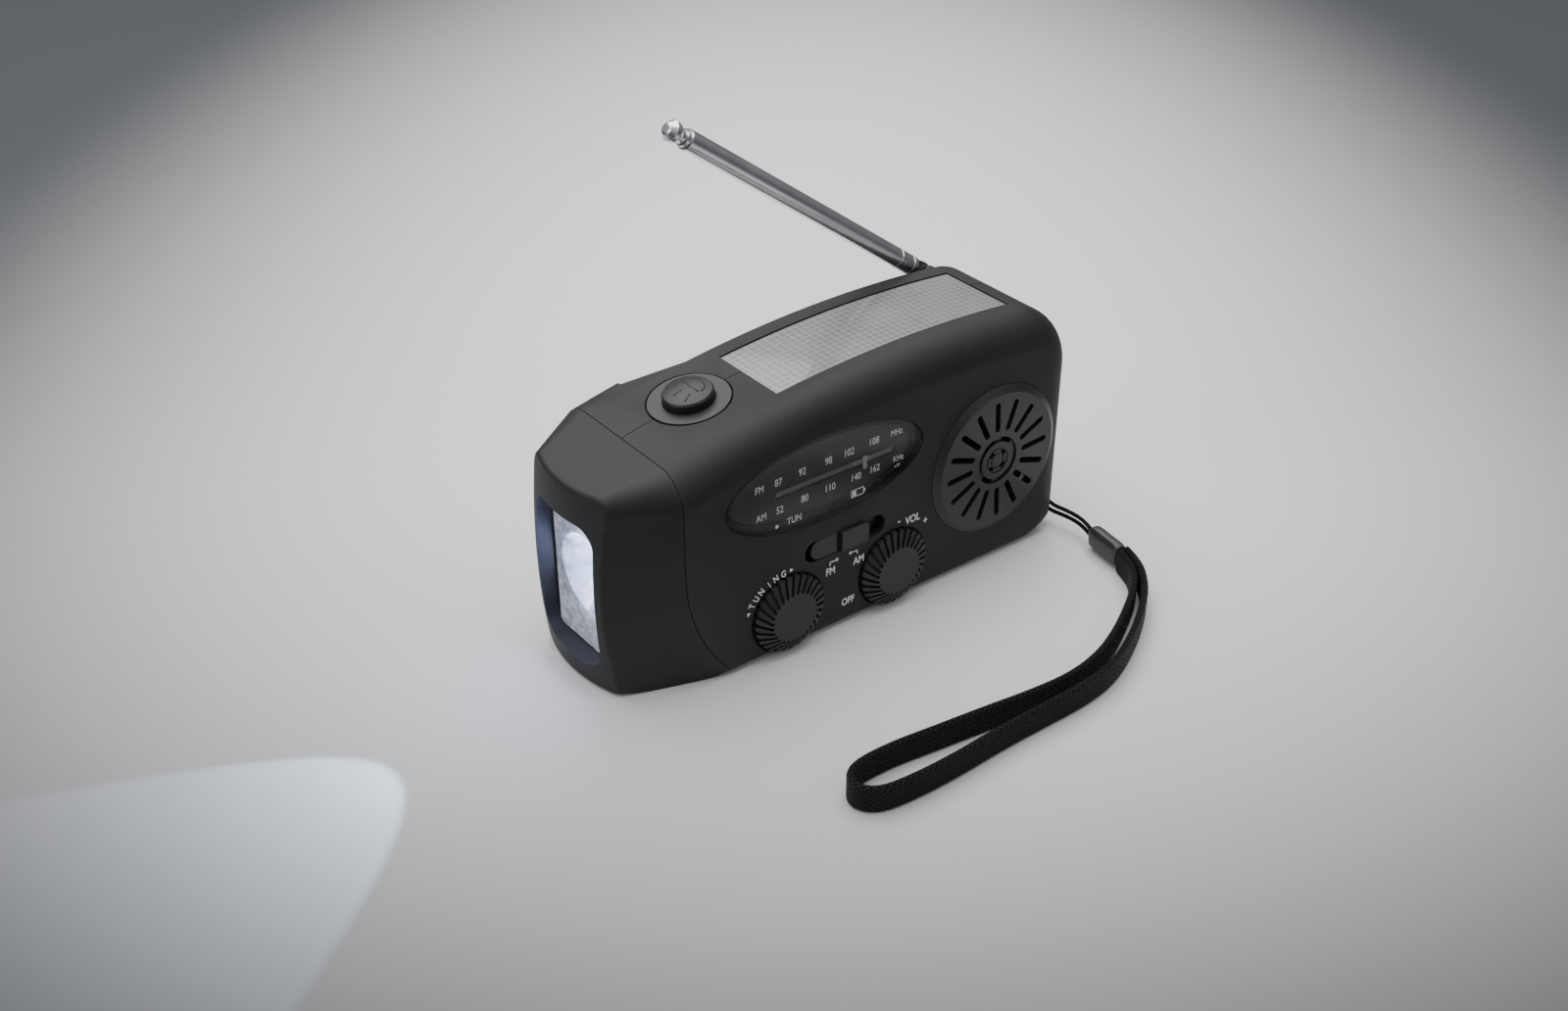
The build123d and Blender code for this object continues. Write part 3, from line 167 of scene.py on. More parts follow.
# ---------------------------------------------------------------- node trees
class Nodes:
    """The nodes of a material or a world, and the few kinds of node that the looks need."""

    def __init__(self, owner):
        owner.use_nodes = True
        self.owner = owner
        self.nodes, self.links = owner.node_tree.nodes, owner.node_tree.links

    def feed(self, socket, value):
        """Link another node's output to an input, or set the input to a plain value."""
        if isinstance(value, bpy.types.NodeSocket):
            self.links.new(value, socket)
        else:
            socket.default_value = value

    def add(self, kind, *values, **settings):
        """A new node: settings name its properties or inputs, values feed inputs in order."""
        made = self.nodes.new(kind)
        for key, value in settings.items():
            if hasattr(made, key):
                setattr(made, key, value)
            else:
                self.feed(made.inputs[key.replace("_", " ")], value)
        for socket, value in zip(made.inputs, values):
            self.feed(socket, value)
        return made

    def place(self, kind="Object"):
        """Texture coordinates, in metres where they are the object's own."""
        return self.add("ShaderNodeTexCoord").outputs[kind]

    def maths(self, operation, *values):
        """The result of one operation on numbers."""
        return self.add("ShaderNodeMath", *values, operation=operation).outputs[0]

    def vector(self, operation, *values):
        """The result of one operation on vectors, a number for a length or a dot product."""
        made = self.add("ShaderNodeVectorMath", *values, operation=operation)
        return made.outputs["Value" if operation in ("LENGTH", "DOT_PRODUCT") else "Vector"]

    def axes(self, value):
        """A vector's X, Y and Z, as a dictionary of outputs."""
        return self.add("ShaderNodeSeparateXYZ", value).outputs

    def noise(self, place, scale, detail):
        """Noise from about 0 to 1."""
        made = self.add("ShaderNodeTexNoise", Vector=place, Scale=scale, Detail=detail)
        return made.outputs["Fac"]

    def mapped(self, value, low, high, start=0.0, end=1.0, **settings):
        """A number moved from the range start to end onto the range low to high."""
        made = self.add("ShaderNodeMapRange", Value=value, From_Min=start, From_Max=end,
                        To_Min=low, To_Max=high, **settings)
        return made.outputs["Result"]

    def ramp(self, value, low, high, at=(0.35, 0.65)):
        """A colour that runs from low to high between two values."""
        made = self.add("ShaderNodeValToRGB", Fac=value)
        made.color_ramp.elements[0].position, made.color_ramp.elements[1].position = at
        made.color_ramp.elements[0].color = (*low, 1)
        made.color_ramp.elements[1].color = (*high, 1)
        return made.outputs["Color"]

    def mix(self, share, low, high):
        """A share of the high colour over the low one."""
        made = self.add("ShaderNodeMix", data_type="RGBA", Factor=share, A=low, B=high)
        return made.outputs["Result"]

    def relief(self, height, strength, depth):
        """The normal of a bump that is a number of millimetres deep."""
        made = self.add("ShaderNodeBump", Strength=strength, Distance=depth * MM, Height=height)
        return made.outputs["Normal"]

    def paint(self, **inputs):
        """Feed inputs of the Principled shader and give back the material."""
        shader = self.nodes["Principled BSDF"]
        for key, value in inputs.items():
            self.feed(shader.inputs[key.replace("_", " ")], value)
        return self.owner


# ---------------------------------------------------------------- materials
WORN = (0.53, 0.62)         # the Pointiness at which an edge starts to pale, and is palest
ROUGH_SPREAD = 0.06         # how far a moulded face's roughness strays either way
CELL_PITCH = 1.7            # mm between the solar cell's lines
FINGER, BUSBAR = 0.16, 0.14     # mm, widths of those lines
YARN_SLANT = 1.25           # how far a yarn runs along the band for each step across it
# Noise, in features for each metre of the object.
CLOUD, METAL_SMUDGE, WINDOW_SMUDGE, EMISSION_CLOUD, CELL_CLOUD = 70.0, 160.0, 120.0, 300.0, 60.0
DRAWN_LINES, FACETS, FLOOR_CLOUD = 9000.0, 900.0, 14.0
FRAY = 2.2                  # the same for each millimetre of a cord's UVs
# The bowl's painted glow, an emission that stands in for the lamp's light on the silvered bowl:
# how bright it is near the lamp's axis and far from it, and where, in mm.
PAINTED_GLOW_NEAR, PAINTED_GLOW_FAR = 4.0, 0.42
PAINTED_GLOW_FROM, PAINTED_GLOW_TO = 2.0, 10.2
PAINTED_GLOW_TINT_FROM, PAINTED_GLOW_TINT_TO = 5.0, 14.0      # mm, where the painted glow's blue turns to white
PAINTED_GLINT_LOW, PAINTED_GLINT_HIGH = 0.55, 1.5   # how much a facet's painted glint dims or brightens


def moulded(name, colour, rough=0.5, grain=0.35, bump=0.12, cloud=0.12, edge=0.25, coat=0.0,
            metal=0.0, shine=0.5):
    """Moulded plastic, rubber or plain metal: a grain in mm, slow colour clouds and worn edges."""
    made = Nodes(bpy.data.materials.new(name))
    place = made.place()
    fine = made.noise(place, 1000.0 / grain, 2.0)
    slow = made.noise(place, CLOUD, 4.0)
    tone = made.ramp(slow, [c * (1 - cloud) for c in colour], [c * (1 + cloud) for c in colour])
    corner = made.add("ShaderNodeNewGeometry").outputs["Pointiness"]
    worn = made.maths("MULTIPLY", made.ramp(corner, (0, 0, 0), (1, 1, 1), WORN), edge)
    pale = (*[min(1, c * 2.2 + 0.02) for c in colour], 1)
    spread = made.mapped(slow, max(0.02, rough - ROUGH_SPREAD), min(1, rough + ROUGH_SPREAD))
    return made.paint(Base_Color=made.mix(worn, tone, pale), Roughness=spread,
                      Normal=made.relief(fine, bump, 0.05), Metallic=metal,
                      Specular_IOR_Level=shine, Coat_Weight=coat, Coat_Roughness=0.15)


def polished(name, colour, rough=0.08, streak=0.0, axis=(0, 0, 1)):
    """Plated or drawn metal: slight smudges and, with a streak, faint lines across the axis."""
    made = Nodes(bpy.data.materials.new(name))
    place = made.place()
    smudge = made.noise(place, METAL_SMUDGE, 3.0)
    if streak:
        lines = made.add("ShaderNodeTexNoise", noise_dimensions="1D", Scale=DRAWN_LINES,
                         Detail=1.0, W=made.vector("DOT_PRODUCT", place, axis))
        made.paint(Normal=made.relief(lines.outputs["Fac"], streak, 0.02))
    return made.paint(Base_Color=made.ramp(smudge, [c * 0.9 for c in colour], colour),
                      Roughness=made.mapped(smudge, rough, rough + 0.10), Metallic=1.0)


def smoked(name, tint, gloss=0.2, rough=0.25):
    """A flat tinted window: mostly clear, with a satin reflection that grows at a slant."""
    made = Nodes(bpy.data.materials.new(name))
    smudge = made.noise(made.place(), WINDOW_SMUDGE, 3.0)
    clear = made.add("ShaderNodeBsdfTransparent", Color=(*tint, 1))
    shine = made.add("ShaderNodeBsdfGlossy", Color=(0.92, 0.92, 0.92, 1),
                     Roughness=made.mapped(smudge, rough, rough + 0.08))
    facing = made.add("ShaderNodeLayerWeight", Blend=0.25).outputs["Facing"]
    level = made.mapped(facing, gloss * 0.5, min(1, gloss * 3))
    window = made.add("ShaderNodeMixShader", level, clear.outputs[0], shine.outputs[0])
    made.feed(made.nodes["Material Output"].inputs["Surface"], window.outputs[0])
    return made.owner


def glowing(name, colour, strength, base=(0.8, 0.85, 0.95)):
    """A lit lamp, or a part given a painted glow."""
    made = Nodes(bpy.data.materials.new(name))
    cloud = made.noise(made.place(), EMISSION_CLOUD, 2.0)
    return made.paint(Emission_Color=made.ramp(cloud, [c * 0.85 for c in colour], colour),
                      Emission_Strength=strength, Base_Color=(*base, 1), Roughness=0.25)


def painted_glow_reflector(name):
    """Silvered plastic with a painted glow, an emission standing in for the lamp's light, that
    falls off away from the lamp's axis, and painted glints on its facets.
    """
    made = Nodes(bpy.data.materials.new(name))
    place = made.place()
    flat = made.vector("MULTIPLY", made.vector("SUBTRACT", place, middle("torch_led")), (0, 1, 1))
    reach = made.vector("LENGTH", flat)
    facet = made.add("ShaderNodeTexVoronoi", Vector=place, Scale=FACETS).outputs["Color"]
    # Painted light: an emission for the lamp's light on the bowl, times a painted glint on each
    # facet.
    glow = made.mapped(reach, PAINTED_GLOW_NEAR, PAINTED_GLOW_FAR, PAINTED_GLOW_FROM * MM, PAINTED_GLOW_TO * MM)
    power = made.maths("MULTIPLY", glow, made.mapped(facet, PAINTED_GLINT_LOW, PAINTED_GLINT_HIGH))
    outer = made.mapped(reach, 0.0, 1.0, PAINTED_GLOW_TINT_FROM * MM, PAINTED_GLOW_TINT_TO * MM)
    tint = made.ramp(outer, (0.45, 0.55, 1.0), (0.85, 0.88, 0.95), (0.0, 1.0))
    return made.paint(Emission_Strength=power, Emission_Color=tint, Metallic=0.9,
                      Base_Color=(0.80, 0.82, 0.86, 1), Roughness=0.16)


def solar_cells(name):
    """Grey cells under a clear cover, ruled with pale lines both ways."""
    made = Nodes(bpy.data.materials.new(name))
    place = made.place()
    parts = made.axes(place)

    def lines(axis, width):
        """1 on the lines that cross an axis, and 0 between them."""
        part = made.maths("FRACT", made.maths("DIVIDE", parts[axis], CELL_PITCH * MM))
        return made.maths("LESS_THAN", part, width / CELL_PITCH)

    ruled = made.maths("MAXIMUM", lines("X", FINGER), lines("Y", BUSBAR))
    cloud = made.noise(place, CELL_CLOUD, 5.0)
    tone = made.ramp(cloud, (0.115, 0.118, 0.120), (0.165, 0.168, 0.170))
    return made.paint(Base_Color=made.mix(ruled, tone, (0.34, 0.345, 0.35, 1)), Roughness=0.35,
                      Coat_Weight=0.6, Coat_Roughness=0.06)


def woven(name, colour, pitch):
    """Braid: two families of slanting yarns on the band's own U (length) and V (round), in mm."""
    made = Nodes(bpy.data.materials.new(name))
    place = made.add("ShaderNodeUVMap").outputs[0]
    parts = made.axes(place)

    def wave(sign):
        """The height of the yarns that slant one way."""
        slant = made.maths("MULTIPLY_ADD", parts["Y"], sign * YARN_SLANT, parts["X"])
        return made.maths("SINE", made.maths("MULTIPLY", slant, 2 * pi / pitch))

    fray = made.noise(place, FRAY, 3.0)
    height = made.maths("MULTIPLY_ADD", fray, 0.5, made.maths("MAXIMUM", wave(1), wave(-1)))
    # Colour follows the yarn height: painted shade between the yarns and a painted highlight on
    # their crests, with the fray's random spots.
    tone = made.ramp(made.mapped(height, 0.0, 1.0, -0.6, 1.4), [c * 0.35 for c in colour],
                     [min(1, c * 2.3) for c in colour], (0.45, 1.0))
    return made.paint(Base_Color=tone, Normal=made.relief(height, 1.0, 0.35), Roughness=0.6,
                      Specular_IOR_Level=0.15, Sheen_Weight=0.02, Sheen_Roughness=0.4)


CASE = moulded("case_plastic", (0.0125, 0.0126, 0.0127), rough=0.62, grain=0.30, bump=0.08,
               shine=0.36)
HEAD = moulded("head_plastic", (0.0130, 0.0131, 0.0134), rough=0.58, grain=0.30, bump=0.07,
               shine=0.38)
TRIM = moulded("trim_plastic", (0.0120, 0.0122, 0.0124), rough=0.46, grain=0.4, bump=0.06)
GRILLE = moulded("grille_plastic", (0.0125, 0.0128, 0.0130), rough=0.44, grain=0.4, bump=0.06)
DARK = moulded("dark_plastic", (0.006, 0.006, 0.0062), rough=0.6)
DIAL = moulded("dial_print_base", (0.058, 0.058, 0.058), rough=0.6, bump=0.0, cloud=0.04, edge=0.0)
PALE = moulded("pale_plastic", (0.55, 0.57, 0.60), rough=0.4, bump=0.05)
RUBBER = moulded("rubber", (0.0125, 0.0125, 0.0128), rough=0.46, grain=0.2, bump=0.06)
BEAD = moulded("bead_plastic", (0.030, 0.031, 0.032), rough=0.38, grain=0.25, bump=0.08)
BOARD = moulded("circuit_board", (0.02, 0.12, 0.06), rough=0.35, coat=0.4)
MAGNET = moulded("magnet", (0.08, 0.08, 0.085), rough=0.5, metal=0.4)
BATTERY = moulded("battery_sleeve", (0.05, 0.12, 0.26), rough=0.3, coat=0.5)
STEEL = polished("steel", (0.42, 0.42, 0.43), rough=0.28)
BRASS = polished("brass", (0.65, 0.47, 0.20), rough=0.25)
COPPER = polished("copper_wire", (0.60, 0.28, 0.14), rough=0.35, streak=0.8, axis=(1, 0.4, 0.3))
# The torch's silvered bowl, with a painted glow and painted glints.
BOWL = painted_glow_reflector("painted_glow_reflector")
PRINT = moulded("print_ink", (0.85, 0.85, 0.85), rough=0.5, cloud=0.05, edge=0.0, bump=0.02)
SCALE_INK = moulded("scale_ink", (0.62, 0.62, 0.62), rough=0.5, cloud=0.05, edge=0.0, bump=0.02)
LENS = smoked("torch_window", (0.95, 0.97, 1.0), gloss=0.02, rough=0.03)
DIAL_LENS = smoked("dial_window", (0.86, 0.86, 0.86), gloss=0.02, rough=0.10)
LED = glowing("led", (0.80, 0.88, 1.0), 30.0)
# The dial's pointer and its rail: a faint painted glow, though they are no lamp.
POINTER_PAINTED_GLOW = glowing("pointer_painted_glow", (0.95, 0.96, 0.98), 0.06, base=(0.30, 0.30, 0.30))
SOLAR = solar_cells("solar_cells")
BRAID = woven("strap_braid", (0.0050, 0.0050, 0.0052), 1.5)
TWINE = woven("twine", (0.006, 0.006, 0.0062), 0.9)
CHROME = polished("chrome_tube", (0.80, 0.80, 0.81), rough=0.20, streak=0.12,
                  axis=joint_axis("antenna_draw_2"))

FINISH = {
    CASE: ("front_shell", "rear_shell", "gear_plate"),
    HEAD: ("torch_head",),
    TRIM: ("tuning_knob", "volume_knob", "band_slider", "button_ring", "crank_arm",
           "crank_grip"),
    GRILLE: ("speaker_grille",),
    DARK: ("torch_switch", "speaker_cone", "solar_cell", "antenna_bracket"),
    DIAL: ("dial_plate",),
    PALE: ("tuning_capacitor", "crank_gear", "idler_gear"),
    POINTER_PAINTED_GLOW: ("dial_pointer", "pointer_rail"),
    RUBBER: ("torch_button", "port_cover"),
    BEAD: ("strap_bead",),
    BOARD: ("led_board", "main_board", "charge_board"),
    MAGNET: ("speaker_magnet", "ferrite_rod", "generator_rotor"),
    BATTERY: ("battery_pack",),
    STEEL: ("case_screws", "volume_control", "band_switch", "speaker_frame", "antenna_screw",
            "antenna_pin", "grip_pin", "crank_shaft", "idler_axle", "generator_case",
            "charge_socket", "lug_pin"),
    BRASS: ("tuning_shaft", "volume_shaft", "rotor_pinion"),
    COPPER: ("generator_stator", "antenna_coil"),
    BOWL: ("torch_reflector",),
    LENS: ("torch_lens",),
    DIAL_LENS: ("dial_lens",),
    LED: ("torch_led",),
    SOLAR: ("solar_cover",),
    CHROME: ("antenna_tube", "antenna_section_2", "antenna_section_3", "antenna_rod"),
    BRAID: ("strap_webbing",),
    TWINE: ("strap_string",),
}
for material, names in FINISH.items():
    for name in names:
        NODES[name].data.materials.clear()
        NODES[name].data.materials.append(material)

# ---------------------------------------------------------------- strap, string and bead
# Sizes and routes in millimetres. Each route is a list of points along the cord.
STRAP_WIDTH = 6.5
STRAP_THICK = 1.6
STRAP_STEP = 0.6            # mm between the band's cross-sections
SELVEDGE_STEPS = 6          # faces round each of its rounded edges
TWINE_RADIUS = 0.5
TWINE_STEP = 0.3
TWINE_SIDES = 12
WEBBING = (
    (59.9, -45.8), (58.5, -50.3), (55.2, -54.9), (49.9, -59.2), (43.0, -63.4), (35.8, -67.4),
    (27.0, -71.0), (17.0, -72.7), (6.0, -71.9), (-6.0, -70.1), (-18.0, -68.6), (-29.5, -67.0),
    (-39.6, -67.2), (-43.2, -71.4), (-40.4, -76.3), (-31.5, -77.5), (-20.0, -77.6),
    (-8.0, -76.9), (4.0, -76.8), (16.0, -76.9), (25.5, -75.7), (33.0, -72.9), (41.0, -68.7),
    (48.3, -63.9), (54.6, -58.9), (60.4, -51.6), (62.0, -45.7))
STRING = (
    (62.8, -33.8, 4.3), (64.4, -29.8, 4.5), (64.2, -24.6, 4.7), (62.6, -19.6, 5.0),
    (63.9, -14.4, 6.2), (62.6, -10.8, 8.75), (58.5, -9.5, 8.7), (58.5, -8.9, 5.3),
    (62.6, -9.9, 4.8), (63.4, -14.4, 4.5), (61.9, -19.4, 3.7), (63.9, -24.6, 3.3),
    (64.1, -29.8, 3.1), (62.6, -33.8, 2.9))


def skin(name, rings, around, step, material):
    """A piece over a row of rings of points, with UVs in mm along and round it."""
    mesh = bmesh.new()
    uv = mesh.loops.layers.uv.new("UVMap")
    rows = [[mesh.verts.new(point) for point in ring] for ring in rings]
    count = len(rows[0])
    for i in range(len(rows) - 1):
        for k in range(count):
            j = (k + 1) % count
            face = mesh.faces.new((rows[i][k], rows[i][j], rows[i + 1][j], rows[i + 1][k]))
            spots = ((i, around[k]), (i, around[k + 1]), (i + 1, around[k + 1]),
                     (i + 1, around[k]))
            for loop, (u, v) in zip(face.loops, spots):
                loop[uv].uv = (u * step, v)
    for row in (rows[0], rows[-1]):
        mesh.faces.new(row)
    return add(name, closed(name, mesh), "case", material)


def headings(line):
    """Each point of a line with the direction of the line there, not of unit length."""
    for i, point in enumerate(line):
        yield point, line[min(i + 1, len(line) - 1)] - line[max(i - 1, 0)]


def band(name, curve, width, thick, material):
    """A woven band on edge that follows a curve, with rounded selvedges and its own UVs in mm."""
    line, length = evenly(curve_line(curve), STRAP_STEP * MM)
    ring = []
    corner = thick / 2
    for side, centre in ((1, width / 2 - corner), (-1, -(width / 2 - corner))):
        for k in range(SELVEDGE_STEPS + 1):
            a = pi * k / SELVEDGE_STEPS
            ring.append((corner * cos(a) * side, centre + corner * sin(a) * side))
    around = [0.0]
    for a, b in zip(ring, ring[1:] + ring[:1]):
        around.append(around[-1] + sqrt((a[0] - b[0]) ** 2 + (a[1] - b[1]) ** 2) / MM)
    rings = []
    for point, ahead in headings(line):
        side = ahead.cross(Vector((0, 0, 1))).normalized()
        rings.append([point + side * x + Vector((0, 0, y)) for x, y in ring])
    step = length / (len(line) - 1) / MM
    return skin(name, rings, around, step, material), line, length


def round_cord(name, curve, radius, material):
    """A thin round cord with UVs in mm along and round it."""
    line, length = evenly(curve_line(curve), TWINE_STEP * MM)
    arc = 2 * pi * radius / MM / TWINE_SIDES
    turns = [2 * pi * k / TWINE_SIDES for k in range(TWINE_SIDES)]
    rings, across = [], Vector((0, 0, 1))
    for point, ahead in headings(line):
        ahead = ahead.normalized()
        across = (across - ahead * across.dot(ahead)).normalized()
        other = ahead.cross(across)
        rings.append([point + radius * (across * cos(a) + other * sin(a)) for a in turns])
    step = length / (len(line) - 1) / MM
    around = [k * arc for k in range(TWINE_SIDES + 1)]
    return skin(name, rings, around, step, material), line, length


webbing_curve = nurbs("webbing_route", [(x, y, STRAP_WIDTH / 2) for x, y in WEBBING])
webbing, webbing_line, webbing_length = band(
    "strap_braid_band", webbing_curve, STRAP_WIDTH * MM, STRAP_THICK * MM, BRAID)
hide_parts("strap_webbing")
string_curve = nurbs("string_route", STRING)
string, string_line, string_length = round_cord(
    "strap_twine", string_curve, TWINE_RADIUS * MM, TWINE)
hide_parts("strap_string")


BEAD_HALF = Vector((1.86, 5.45, 2.95)) * MM
BEAD_LEAN = -8.4            # degrees it lies askew
BEAD_RINGS, BEAD_SIDES = 24, 40
BEAD_END = 0.72             # how much of its girth is left at the very ends
BEAD_SQUARE = 0.62          # 1 would be round, less is squarer
BEAD_WAIST = 0.03
BEAD_MOUTH = 0.35 * MM      # how far the ends are dished


def bead_shell():
    """The cord bead: a moulded lozenge with soft ends, a little waist and a mouth."""
    low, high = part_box("strap_bead")
    centre = (low + high) / 2
    lean = Matrix.Rotation(radians(BEAD_LEAN), 3, "Z")
    mesh = bmesh.new()
    rings = []
    for j in range(BEAD_RINGS + 1):
        t = -1 + 2 * j / BEAD_RINGS
        end = (1 - abs(t) ** 5) ** 0.5 if abs(t) < 1 else 0
        size = BEAD_END + (1 - BEAD_END) * end
        size -= BEAD_WAIST * cos(pi * t / 2) ** 2
        row = []
        for k in range(BEAD_SIDES):
            a = 2 * pi * k / BEAD_SIDES
            c, s = cos(a), sin(a)
            x = BEAD_HALF.x * size * abs(c) ** BEAD_SQUARE * (1 if c >= 0 else -1)
            z = BEAD_HALF.z * size * abs(s) ** BEAD_SQUARE * (1 if s >= 0 else -1)
            row.append(mesh.verts.new(centre + lean @ Vector((x, BEAD_HALF.y * t, z))))
        rings.append(row)
    for a, b in zip(rings, rings[1:]):
        for k in range(BEAD_SIDES):
            j = (k + 1) % BEAD_SIDES
            mesh.faces.new((a[k], a[j], b[j], b[k]))
    for row, inward in ((rings[0], 1), (rings[-1], -1)):
        inset = mesh.faces.new(row)
        bmesh.ops.inset_region(mesh, faces=[inset], thickness=BEAD_MOUTH)
        bmesh.ops.translate(mesh, verts=inset.verts,
                            vec=lean @ Vector((0, BEAD_MOUTH * inward, 0)))
    return add("bead_shell", closed("bead_shell", mesh), "case", BEAD)


bead = bead_shell()
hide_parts("strap_bead")

# ---------------------------------------------------------------- printing
lens_low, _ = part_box("dial_lens")
shell_low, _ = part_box("front_shell")
INK = 0.02                  # mm, thickness of the ink


class Print:
    """Flat ink on a plane that faces the front, gathered into one mesh."""

    def __init__(self, y):
        self.y = y
        self.mesh = bmesh.new()

    def put(self, mesh, x, z, angle=0.0):
        """Stand a flat mesh up at x and z in millimetres, turned by an angle, and keep it."""
        place = (Matrix.Translation((x * MM, self.y, z * MM)) @ Matrix.Rotation(pi / 2, 4, "X")
                 @ Matrix.Rotation(angle, 4, "Z"))
        mesh.transform(place)
        self.mesh.from_mesh(mesh)
        bpy.data.meshes.remove(mesh)

    def text(self, words, x, z, size, angle=0.0, squeeze=0.8, bold=0.0):
        """Words centred on a point, narrowed by squeeze."""
        curve = bpy.data.curves.new("words", "FONT")
        curve.body, curve.size = words, size * MM
        curve.align_x, curve.align_y = "CENTER", "CENTER"
        curve.extrude = INK * MM / 2
        curve.offset = bold * MM
        probe = placed("probe", curve)
        mesh = bpy.data.meshes.new_from_object(probe)
        bpy.data.objects.remove(probe)
        bpy.data.curves.remove(curve)
        mesh.transform(Matrix.Diagonal((squeeze, 1, 1, 1)))
        self.put(mesh, x, z, angle)

    def shape(self, points, x, z, angle=0.0):
        """An outline given by its corners in millimetres."""
        flat = bmesh.new()
        flat.faces.new([flat.verts.new((a * MM, b * MM, 0)) for a, b in points])
        out = bmesh.ops.extrude_face_region(flat, geom=flat.faces[:])
        bmesh.ops.translate(flat, vec=(0, 0, INK * MM),
                            verts=[v for v in out["geom"] if isinstance(v, bmesh.types.BMVert)])
        self.put(closed("shape", flat), x, z, angle)

    def dot(self, x, z, radius):
        """A filled circle."""
        self.shape([(radius * cos(a * pi / 12), radius * sin(a * pi / 12)) for a in range(24)],
                   x, z)

    def bar(self, x, z, wide, high):
        """A filled rectangle."""
        self.shape([(-wide / 2, -high / 2), (wide / 2, -high / 2), (wide / 2, high / 2),
                    (-wide / 2, high / 2)], x, z)

    def done(self, name, ink):
        """Make the piece that carries everything printed so far."""
        data = bpy.data.meshes.new(name)
        self.mesh.to_mesh(data)
        self.mesh.free()
        obj = add(name, data, "case", ink, smooth=False)
        return obj


dial = Print(lens_low.y - 0.5 * INK * MM)
for words, x, z, size in (
        ("FM", -28.7, 44.7, 2.4), ("87", -23.7, 44.8, 2.5), ("92", -17.3, 45.1, 2.5),
        ("98", -10.2, 45.2, 2.5), ("102", -4.6, 45.3, 2.5), ("108", 2.4, 45.6, 2.5),
        ("MHz", 8.8, 45.7, 2.2), ("AM", -28.2, 37.7, 2.4), ("52", -23.3, 37.8, 2.5),
        ("80", -16.6, 38.2, 2.5), ("110", -9.7, 38.3, 2.5), ("140", -2.5, 38.3, 2.5),
        ("162", 2.8, 38.5, 2.5), ("KHz", 9.6, 38.8, 2.1), ("x10", 9.3, 37.0, 1.2),
        ("TUN", -19.4, 34.0, 2.4)):
    dial.text(words, x, z, size)
# The dot beside TUN, then the battery sign: its four sides, its cap and its charge.
dial.dot(-24.1, 33.9, 0.45)
for x, z, wide, high in ((-1.9, 35.1, 3.4, 0.2), (-1.9, 33.4, 3.4, 0.2),
                         (-3.6, 34.25, 0.2, 1.9), (-0.2, 34.25, 0.2, 1.5),
                         (0.1, 34.25, 0.35, 0.7), (-2.8, 34.25, 1.0, 1.2)):
    dial.bar(x, z, wide, high)
dial.done("dial_scale_print", SCALE_INK)

panel = Print(shell_low.y - 0.5 * INK * MM)
for words, x, z, size in (("FM", -9.2, 16.2, 2.7), ("AM", -1.1, 16.1, 2.7),
                          ("OFF", -4.0, 6.1, 2.6), ("VOL", 14.6, 20.9, 2.8),
                          ("-", 10.5, 21.9, 3.0), ("+", 18.5, 18.9, 2.8)):
    panel.text(words, x, z, size, bold=0.05)
# A bent line that ends in a dot over FM, and its mirror image over AM.
for x, z, side in ((-9.4, 18.3, 1), (-1.6, 18.5, -1)):
    panel.bar(x, z, 0.28, 1.0)
    panel.bar(x + side * 0.9, z + 0.4, 1.9, 0.28)
    panel.dot(x + side * 1.9, z + 0.4, 0.42)
knob_centre = middle("tuning_knob") / MM
for letter, x, z in (("T", -30.9, 16.0), ("U", -29.7, 17.4), ("N", -28.3, 18.7),
                     ("I", -26.2, 19.7), ("N", -24.4, 20.5), ("G", -22.3, 20.9)):
    heading = atan2(z - knob_centre.z, x - knob_centre.x) - pi / 2
    panel.text(letter, x, z, 2.35, heading, bold=0.04)
for x, z, way in ((-31.9, 14.3, pi), (-20.3, 21.2, 0)):
    heading = atan2(z - knob_centre.z, x - knob_centre.x) - pi / 2
    panel.shape([(0.7, 0), (-0.3, 0.5), (-0.3, -0.5)], x, z, heading + way)
panel.done("panel_print", PRINT)

# ---------------------------------------------------------------- torch button's raised sign
up = -Vector(joint_axis("button_press")).normalized()
along = Vector((0, 1, 0)).cross(up).normalized()
DOME, SIDE, RISE = 5.7, 2.1, 3.1    # the button's radius, and its height at its side and middle
sphere = (DOME ** 2 + (RISE - SIDE) ** 2) / (2 * (RISE - SIDE))
ARCH_X, ARCH_TOP, ARCH_RADIUS = 22.0, 62.0, 300.0       # the arch of the case's top
BUTTON_X = -30.5
foot = Vector((BUTTON_X, 0, ARCH_TOP - ARCH_RADIUS
               + sqrt(ARCH_RADIUS ** 2 - (BUTTON_X - ARCH_X) ** 2)))
SIGN_SUNK = 0.06            # mm the sign's lines lie into the dome
LINE_SIDES = 8


def on_dome(u, v):
    """A point on the dome, u along the radio and v across it, in millimetres."""
    w = sqrt(sphere ** 2 - u * u - v * v) + RISE - sphere - SIGN_SUNK
    return foot + along * u + Vector((0, 1, 0)) * v + up * w


